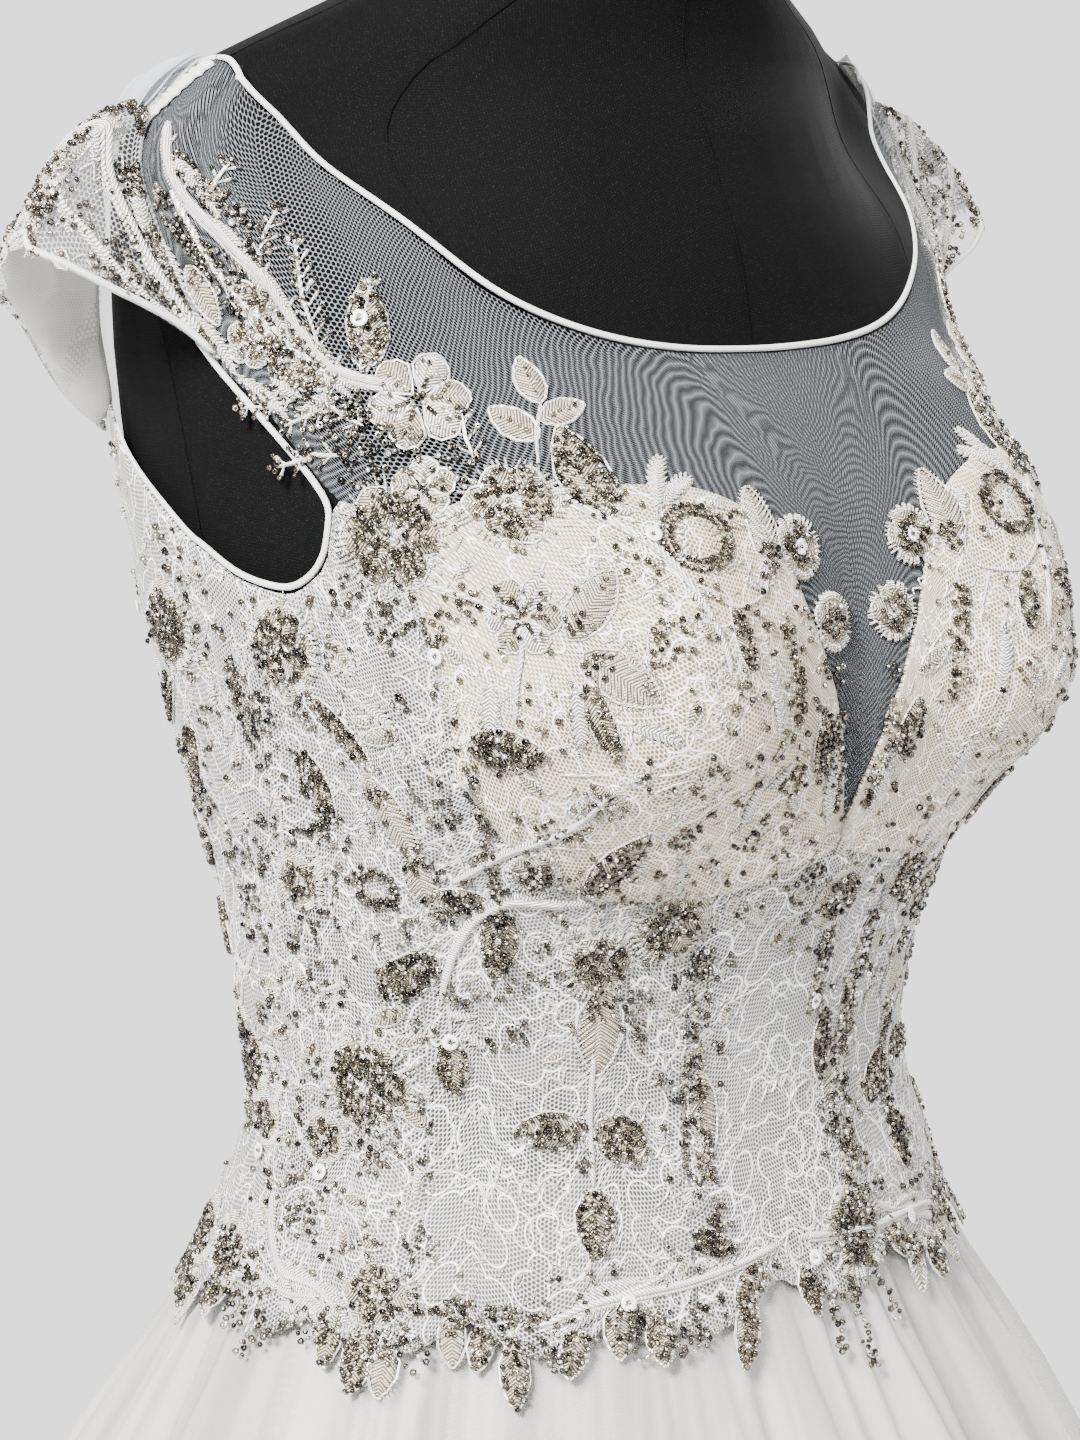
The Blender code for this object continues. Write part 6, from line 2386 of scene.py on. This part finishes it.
@dataclass(frozen=True)
class Closure:
    """The placket down the centre back with its covered buttons and loops."""

    half_angle: float = 3.5
    thickness: float = 1.0 * MM
    shell: float = 0.5 * MM
    buttons: int = 10
    button_radius: float = 5.0 * MM
    button_height: float = 4.0 * MM

    def build(self, chart: Chart) -> None:
        """Makes the placket, the buttons and their loops.

        Args:
            chart: the embroidered surface.
        """
        bottom = float(waist_edge(np.array([180.0]))[0]) + 1 * MM
        top = float(neckline(np.array([180.0]))[0]) - 0.6 * MM
        angle = CLOSURE_ANGLE + np.linspace(-1, 1, 15) * self.half_angle
        angle, height = np.meshgrid(angle, np.linspace(bottom, top, 90))
        edge = 1 - ((angle - CLOSURE_ANGLE) / self.half_angle) ** 8
        lift = bodice_lift(angle, height) + PANEL_THICKNESS + 2 * SEAM_GAP + self.thickness * edge
        Cloth("back_placket_cloth", lifted(cloth_point, angle, height, lift), Finish.SATIN, "satin",
              self.shell, replaces=("back_placket",)).build()
        bm = bmesh.new()
        work = Stitchwork("closure", chart)
        nodes = [f"button_{number + 1:02d}" for number in range(self.buttons)]
        size = Matrix.Diagonal((self.button_radius, self.button_radius, self.button_height / 2, 1))
        for node in nodes:
            low, high = (np.array(corner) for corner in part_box(node))
            centre = (low + high) / 2
            place = Matrix.Translation(centre) @ Matrix.Rotation(math.pi / 2, 4, "X") @ size
            bmesh.ops.create_uvsphere(bm, u_segments=20, v_segments=12, radius=1, matrix=place,
                                      calc_uvs=False)
            loop = np.linspace(-0.5, 0.5, 13) * 1.35 * math.pi
            Needle(work, 180.0, float(centre[2])).cord(6.0 - 6.4 * np.cos(loop), 6.3 * np.sin(loop),
                                                       0.5)
        mesh = bpy.data.meshes.new("covered_buttons")
        bm.to_mesh(mesh)
        bm.free()
        mesh.uv_layers.new(name=CLOTH_UV)
        piece = dress_up(link("covered_buttons", mesh), Finish.SATIN, "satin")
        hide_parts(*nodes)
        work.make()


@dataclass(frozen=True)
class SkirtLayers:
    """The satin underskirt with two gathered layers of tulle over it."""

    satin_gathers: int = 12
    middle_gathers: int = 19
    outer_gathers: int = 24
    fine_gathers: int = 72
    satin_shell: float = 0.5 * MM
    tulle_shell: float = 0.2 * MM

    @staticmethod
    def grid(columns: int, rows: int) -> tuple[np.ndarray, np.ndarray]:
        """Returns: angles and heights of a layer's points, closer together near the waist."""
        share = np.linspace(0, 1, rows) ** 0.62
        return np.meshgrid(np.linspace(-180, 180, columns + 1),
                           HEM_HEIGHT + (SKIRT_TOP_HEIGHT - HEM_HEIGHT) * share)

    @staticmethod
    def gathered(angle: np.ndarray, count: int, shift: float = 0.0) -> np.ndarray:
        """Returns: a wave of evenly wandering gathers, from -1 to 1."""
        wander = WANDER * (np.sin(np.radians(angle * 3)) + np.cos(np.radians(angle * 7)))
        return np.cos(np.radians((angle + wander) * count + shift))

    def fine_wave(self, angle: np.ndarray, height: np.ndarray) -> np.ndarray:
        """Returns: the small creases that run down from the waist seam, in metres."""
        strong = 0.35 + 0.65 * np.clip(np.sin(np.radians(angle * 5 + 40)) + 0.6
                                       * np.sin(np.radians(angle * 11)), 0, 1)
        size = np.interp(height, *zip(*FINE_GATHER_DEPTHS))
        return self.gathered(angle, self.fine_gathers, 70) * strong * size * MM

    def build(self) -> None:
        """Makes the three layers."""
        angle, height = self.grid(240, 20)
        stand, wave = layer_values(LINING_LAYER, height)
        self.layer("satin_underskirt", Finish.LINING, "satin", self.satin_shell, angle, height,
                   stand + SKIRT_THICKNESS + wave * self.gathered(angle, self.satin_gathers),
                   tuple(f"skirt_lining_{gore}" for gore in GORES))
        angle, height = self.grid(252, 20)
        stand, wave = layer_values(TULLE_LAYER, height)
        low = sum(layer_values(LINING_LAYER, height))
        room = np.maximum(stand - wave - low - SKIRT_THICKNESS, 0.3 * MM)
        self.layer("middle_tulle", Finish.TULLE_MIDDLE, "tulle", self.tulle_shell, angle, height,
                   low + SKIRT_THICKNESS + room * 0.36
                   + room * 0.26 * self.gathered(angle, self.middle_gathers, 30))
        angle, height = self.grid(456, 26)
        stand, wave = layer_values(TULLE_LAYER, height)
        self.layer("outer_tulle", Finish.TULLE_OUTER, "tulle", self.tulle_shell, angle, height,
                   stand + SKIRT_THICKNESS + wave * self.gathered(angle, self.outer_gathers)
                   + self.fine_wave(angle, height), tuple(f"skirt_tulle_{gore}" for gore in GORES))

    def layer(self, name: str, finish: Finish, slot: str, thickness: float, angle: np.ndarray,
              height: np.ndarray, lift: np.ndarray, nodes: Sequence[str] = ()) -> None:
        """Makes one layer, all round.

        Args:
            name: the piece's name.
            finish: what it is made of.
            slot: a name for that material's slot, which the piece keeps.
            thickness: the cloth's thickness, in metres.
            angle: its points' angles.
            height: its points' heights.
            lift: how far they stand off the underskirt's plain surface, in metres.
            nodes: the solids it replaces.
        """
        Cloth(name, lifted(cloth_point, angle, height, lift), finish, slot, thickness, ring=True,
              held="gathered", rests_on=("bodice_front_centre_cloth",), replaces=nodes).build()


@dataclass(frozen=True)
class DressForm:
    """The limbless form in black jersey, its seams and its stand."""

    columns: int = 72
    rows: int = 56
    seam_radius: float = 0.2 * MM
    seam_angles: Sequence[int] = (0, 38, -38, 90, -90, 142, -142, 180)

    def build(self) -> None:
        """Makes the torso and its seams, and finishes the stand."""
        angle, height = np.meshgrid(np.linspace(-180, 180, self.columns + 1),
                                    np.linspace(FORM_BOTTOM_HEIGHT, FORM_TOP_HEIGHT, self.rows))
        points = lifted(form_point, angle, height, -FORM_INSET)
        points[..., 2] = height
        mesh = grid_mesh("form_torso_jersey", points, 1e-5, filled=True)
        torso = dress_up(link("form_torso_jersey", mesh), Finish.JERSEY, "jersey")
        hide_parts("form_torso")
        chart = Chart.of(form_point, (-200, 200, 1.0), (0.86, 1.53, 0.004))
        seams = Stitchwork("form", chart)
        heights = np.linspace(FORM_BOTTOM_HEIGHT + 0.004, FORM_TOP_HEIGHT - 0.004, 120)
        for seam in self.seam_angles:
            sway = 1 - 0.10 * np.sin((heights - 0.9) * 7)
            angles = seam * sway if abs(seam) in (38, 142) else seam
            seams.cords.append((angles + 0 * heights, heights, 0 * heights, 0 * heights,
                                self.seam_radius))
        seams.lay_cords("seams", Finish.JERSEY)
        for node, finish in (("form_neck_cap", Finish.JERSEY), ("stand_pole", Finish.STEEL),
                             ("stand_base", Finish.STEEL)):
            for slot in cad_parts[node].material_slots:
                slot.material = finish.made()


def lay_stem(work: Stitchwork, stem: Stem, turned: Callable) -> None:
    """Lays one raised stem through its places, with a few short side threads.

    Args:
        work: the stitchwork.
        stem: the stem.
        turned: gives the angle to use for one of its angles.
    """
    angles, heights = (np.array(column, float) for column in zip(*stem.places))
    rough = np.linspace(0, 1, len(angles))
    fine = np.linspace(0, 1, 8 * len(angles))
    a, b = (smooth_value(table(Step, *zip(rough, values)), "value", fine, "at")
            for values in (turned(angles), heights))
    none = np.zeros(len(fine))
    work.cords.append((a, b, none, none, stem.radius * MM))
    if stem.radius > 1.0:
        for k in range(0, len(fine) - 3, 3):
            ahead = work.chart.at(a[k:k + 2], b[k:k + 2])
            along, up, _ = work.chart.frame(a[k:k + 1], b[k:k + 1])
            step = ahead[1] - ahead[0]
            turn = math.degrees(math.atan2(float(step @ up[0]), float(step @ along[0])))
            Needle(work, float(a[k]), float(b[k]), turn).leaf(
                15, stem.radius * 2.6, rise=stem.radius * 1.1, shape=Shape.THREAD)
    if stem.radius > 0.75:
        shift = stem.radius * 1.3 * MM
        work.cords.append((a, b, none, none - shift, stem.radius * 0.6 * MM))
        for k in range(3, len(fine) - 2, 3):
            needle = Needle(work, float(a[k]), float(b[k]), 60 if k % 2 else -60)
            needle.stitch(stem.radius * 3.2, 0, 0, 0, stem.radius * 0.9, cream=False, rise=0.8)


@dataclass(frozen=True)
class Embroidery:
    """All lace motifs and beads of the bodice."""

    small_motifs_tried: int = 5200
    window_pitch: tuple[float, float] = (0.013, 0.0105)
    metres_a_degree: float = 2.4 * MM
    hem_thread_pitch: float = 0.62
    hem_leaf_pitch: float = 5.0

    def build(self, chart: Chart) -> None:
        """Draws every motif and makes the pieces.

        Args:
            chart: the embroidered surface.
        """
        work = {name: Stitchwork(name, chart) for name in ("front_right", "front_left", "back")}
        right, left, back = work.values()
        taken: list[tuple[float, float, float, float]] = []
        for spot in FRONT:
            self.draw(right, spot, spot.angle, False, taken)
            if spot.angle < -2:
                self.draw(left, spot, -spot.angle, True, taken)
            if spot.height < 1.24 and -82 < spot.angle < -14:
                self.draw(back, spot, 180 + spot.angle, False, taken)
                self.draw(back, spot, 180 - spot.angle, True, taken)
        for spot in CENTRE:
            self.draw(right, spot, spot.angle, False, taken)
        for stem in STEMS:
            lay_stem(right, stem, lambda angle: angle)
            lay_stem(left, stem, lambda angle: -angle)
            if max(place[1] for place in stem.places) < 1.25 and stem.places[0][0] > -86:
                lay_stem(back, stem, lambda angle: 180 + angle)
                lay_stem(back, stem, lambda angle: -180 - angle)
        self.windows(work)
        self.fill(work, chart, taken)
        self.ground_threads(work)
        self.hem(work)
        for part in work.values():
            part.make()

    @staticmethod
    def draw(work: Stitchwork, spot: Spot, angle: float, mirrored: bool, taken: list) -> None:
        """Draws one motif and remembers the room it takes.

        Args:
            work: the stitchwork.
            spot: the motif and its place.
            angle: the angle to use instead of its own.
            mirrored: draws it the other way round.
            taken: points and radii of all the room that motifs take.
        """
        angle = (angle + 180) % 360 - 180
        spot.motif.draw(Needle(work, angle, spot.height, spot.turn, mirrored), *spot.sizes)
        reach = spot.sizes[0] if spot.sizes else 3.0
        turn = math.radians(180 - spot.turn if mirrored else spot.turn)
        for step in [0.0] if spot.motif.centred else np.arange(0, reach + 1, 5.0):
            a, b = work.chart.near(angle, spot.height, np.array([step * math.cos(turn) * MM]),
                                   np.array([step * math.sin(turn) * MM]))
            taken.append((*work.chart.at(a, b)[0], (reach if spot.motif.centred else 5.0) * MM))

    @staticmethod
    def part(work: dict, angle: float, back: float = 90, middle: float = 2) -> Stitchwork:
        """The stitchwork that a place belongs to.

        Args:
            work: all stitchwork by name.
            angle: the place's angle.
            back: the angle where the back begins.
            middle: the angle where the left of the front begins.

        Returns:
            Its stitchwork.
        """
        return work["back" if abs(angle) > back else "front_left" if angle > middle
                    else "front_right"]

    def windows(self, work: dict) -> None:
        """Fills the clear windows with fine corded scallops.

        Args:
            work: all stitchwork by name.
        """
        dice = Dice(SEED + 1)
        for window in WINDOWS:
            wide, tall = window.right - window.left, window.high - window.low
            columns = max(int(wide * self.metres_a_degree / self.window_pitch[0]), 1)
            rows = max(int(tall / self.window_pitch[1]), 1)
            for i in range(columns):
                for j in range(rows):
                    a = window.left + (i + 0.5 + 0.35 * (j % 2)) * wide / columns + dice.stray(1.2)
                    b = window.low + (j + 0.5) * tall / rows + dice.stray(0.0018)
                    if dice.share() > 0.3:
                        continue
                    turn = dice.one_of(0, 180, 65, -115, 30) + dice.stray(18)
                    needle = Needle(self.part(work, a, middle=10), a, b, turn)
                    if dice.share() < 0.72:
                        needle.scallops(dice.whole(3, 6), dice.between(2.8, 4.8),
                                        dice.between(-0.4, 0.4), 0.44)
                    else:
                        needle.curl(dice.between(10, 18), dice.between(-0.5, 0.5), 0.48)

    @staticmethod
    def on_ground(angle: float, height: float, above: float, below: float) -> bool:
        """Whether a place is on the lace and outside its clear windows.

        Args:
            angle: its angle.
            height: its height.
            above: the least distance above the lace's lower edge, in metres.
            below: the least distance below its upper edge, in metres.

        Returns:
            Whether it is.
        """
        angle = np.array(angle)
        inside = float(waist_edge(angle)) + above < height < float(lace_top(angle)) - below
        return inside and not in_window(float(angle), height)

    def fill(self, work: dict, chart: Chart, taken: list) -> None:
        """Fills the ground between the placed motifs with small ones.

        Args:
            work: all stitchwork by name.
            chart: the embroidered surface.
            taken: points and radii of all the room that motifs take.
        """
        dice = Dice(SEED + 2)
        full = np.array(taken)
        for _ in range(self.small_motifs_tried):
            a, b = dice.between(-180, 180), dice.between(0.998, 1.30)
            if not self.on_ground(a, b, 4 * MM, 3 * MM):
                continue
            reach = dice.one_of(3.2, 4.5, 6.5) * MM
            here = chart.at(np.array([a]), np.array([b]))[0]
            room = np.linalg.norm(full[:, :3] - here, axis=1) - full[:, 3] * 0.9
            if room.min() < reach * 0.62:
                continue
            full = np.vstack([full, [*here, reach]])
            needle = Needle(self.part(work, a, 98), a, b, dice.between(0, 360), a > 0)
            size = reach / MM
            if dice.share() < (0.80 if abs(a) > 98 else 0.25 if a > 2 else 0.0):
                continue
            pick = dice.share()
            on_cup = abs(a) < CUP_OUTER_ANGLE and b > 1.15
            if pick < (0.22 if on_cup else 0.34):
                needle.cluster(size, int(size * size / 3.4), 0.6)
            elif pick < 0.50:
                needle.scallops(3, size * 0.6, 0.3, 0.34)
                needle.cluster(size * 0.5, 2, 0.4)
            elif pick < 0.72:
                needle.feather_leaf(size * 2.3, size * 1.0, 0.5 if size > 4 else 0.0)
            elif pick < 0.86:
                needle.curl(size * 2.6, 0.4, 0.45)
                needle.curl(size * 2.0, -0.5, 0.45)
            else:
                needle.thread_leaf(size * 2.2, size * 0.8)

    def ground_threads(self, work: dict) -> None:
        """Sews short threads, fine cords and single beads all over the ground, in flowing rows.

        Args:
            work: all stitchwork by name.
        """
        dice = Dice(SEED + 4)
        for low, high, part, counts in ((-98, 3, "front_right", (1250, 50, 800)),
                                        (3, 98, "front_left", (650, 30, 260)),
                                        (98, 262, "back", (450, 30, 90))):
            for kind in [kind for kind, count in zip(("thread", "cord", "bead"), counts)
                         for _ in range(count)]:
                a, b = dice.between(low, high), dice.between(0.992, 1.29)
                a = (a + 180) % 360 - 180
                if not self.on_ground(a, b, 3 * MM, 2 * MM):
                    continue
                flow = 70 + 65 * math.sin(a * 0.075 + b * 31) + 25 * math.sin(b * 83 + a * 0.2)
                needle = Needle(work[part], a, b, flow + dice.stray(16), a > 0)
                if kind == "thread":
                    needle.stitch(dice.between(2.6, 6.0), 0, 0, 0, dice.between(0.5, 0.9),
                                  cream=bool(dice.share() < 0.66), rise=dice.between(0.4, 0.9))
                elif kind == "cord":
                    if b < float(lace_top(np.array(a))) - 0.014 and abs(a) > 9:
                        needle.scallops(dice.whole(2, 5), dice.between(2.4, 4.2), 0.3, 0.34)
                else:
                    needle.bead(0, 0, 0.5)

    def hem(self, work: dict) -> None:
        """Finishes the lace's lower edge with a cord, threads, beads and leaves over the skirt.

        Args:
            work: all stitchwork by name.
        """
        dice = Dice(SEED + 3)
        for a in np.arange(-180, 180, self.hem_thread_pitch):
            edge = float(waist_edge(np.array(a)))
            needle = Needle(self.part(work, a), float(a), edge + 3.2 * MM, -90 + dice.stray(22))
            needle.stitch(dice.between(3.0, 5.5), 0, 0, 0, 0.8, cream=bool(dice.share() < 0.5))
            if dice.share() < 0.42:
                needle.bead(dice.between(-2, 6), 0, 0.45)
        for a in np.arange(-178, 180, self.hem_leaf_pitch):
            if -14 < a < 24:
                continue
            edge = float(waist_edge(np.array(a)))
            pick = dice.share()
            needle = Needle(self.part(work, a), float(a + dice.stray(1.5)), edge + 4 * MM,
                            -90 + dice.stray(28))
            if pick < 0.4:
                needle.bead_leaf(dice.between(15, 23), dice.between(8, 12), 0.4)
            elif pick < 0.6:
                needle.feather_leaf(dice.between(14, 24), dice.between(8, 11), 0.3)
            elif pick < 0.82:
                needle.moved(6).cluster(6.5, 13, 0.6)
            else:
                needle.drip(dice.between(8, 16))


# ---------------------------------------------------------------- camera and light
@dataclass(frozen=True)
class Studio:
    """A pale floor, soft light and the camera."""

    camera_place: tuple[float, float, float] = (-0.84079, -0.91153, 1.401)
    camera_turn: tuple[float, float, float] = (80.0, 0.0, -42.0)
    lens: float = 58.717
    sensor: float = 24.0
    pale: Colour = (0.80, 0.81, 0.83)
    floor_radius: float = 2.1
    sky_strength: float = 2.2
    sky_facing: tuple[float, float, float] = (0.669, 0.743, 0.0)
    sky: Colour = (0.985, 0.99, 1.0)
    aim: tuple[float, float, float] = (0.0, 0.0, 1.15)

    def build(self) -> None:
        """Makes the floor, the world, the lamps and the camera."""
        bm = bmesh.new()
        bmesh.ops.create_circle(bm, cap_ends=True, segments=96, radius=self.floor_radius)
        mesh = bpy.data.meshes.new("studio_floor")
        bm.to_mesh(mesh)
        bm.free()
        look = Look("studio_floor")
        look.set(Base_Color=look.blend(look.noise(0.8), self.pale, shaded(self.pale, 0.98)),
                 Roughness=0.9)
        mesh.materials.append(look.material)
        show("studio_floor", mesh)
        world = bpy.data.worlds.new("studio_world")
        world.use_nodes = True
        nodes = Nodes(world.node_tree)
        way = nodes.node("ShaderNodeTexCoord", output="Generated")
        facing = nodes.vectors("DOT_PRODUCT", way, self.sky_facing, output="Value")
        ground = world.node_tree.nodes["Background"]
        nodes.join(ground.inputs["Strength"], self.sky_strength)
        nodes.join(ground.inputs["Color"],
                   nodes.blend(facing.step(-0.1, 0.85, 0.22, 0.92), (0.0, 0.0, 0.0), self.sky))
        bpy.context.scene.world = world
        self.lamp("key", (-2.6, -1.0, 3.3), 0.9, 760)
        self.lamp("fill", (0.8, -3.2, 2.0), 2.0, 130)
        self.lamp("rim", (2.6, 1.2, 2.8), 1.4, 120)
        camera = bpy.data.cameras.new("camera")
        camera.sensor_fit = "VERTICAL"
        camera.sensor_height = self.sensor
        camera.lens = self.lens
        camera.clip_start = 0.05
        holder = show("camera", camera)
        holder.location = self.camera_place
        holder.rotation_euler = tuple(math.radians(turn) for turn in self.camera_turn)
        bpy.context.scene.camera = holder

    def lamp(self, name: str, place: tuple[float, float, float], size: float, power: float) -> None:
        """Adds one soft lamp that faces the bodice.

        Args:
            name: its name.
            place: where it hangs.
            size: its side, in metres.
            power: its power, in watts.
        """
        light = bpy.data.lights.new(name, "AREA")
        light.size = size
        light.energy = power
        holder = show(name, light)
        holder.location = place
        aim = np.array(self.aim) - np.array(place)
        turn = math.atan2(aim[1], aim[0]) - math.pi / 2
        tilt = math.atan2(aim[2], math.hypot(aim[0], aim[1]))
        holder.rotation_euler = (math.pi / 2 + tilt, 0.0, turn)


def main() -> None:
    """Builds the dress, its form and the studio, in order."""
    logging.basicConfig(level=logging.INFO, format="%(message)s")
    for name, part in (("studio", Studio()), ("dress form", DressForm()), ("skirt", SkirtLayers()),
                       ("bodice", Bodice()), ("cap sleeves", CapSleeves()), ("bindings", Trim())):
        LOG.info(name)
        part.build()
    chart = Chart.of(embroidered_surface, (-200.0, 200.0, 0.5), (0.90, 1.44, 0.001))
    for name, part in (("closure", Closure()), ("embroidery", Embroidery())):
        LOG.info(name)
        part.build(chart)


if __name__ == "__main__":
    main()
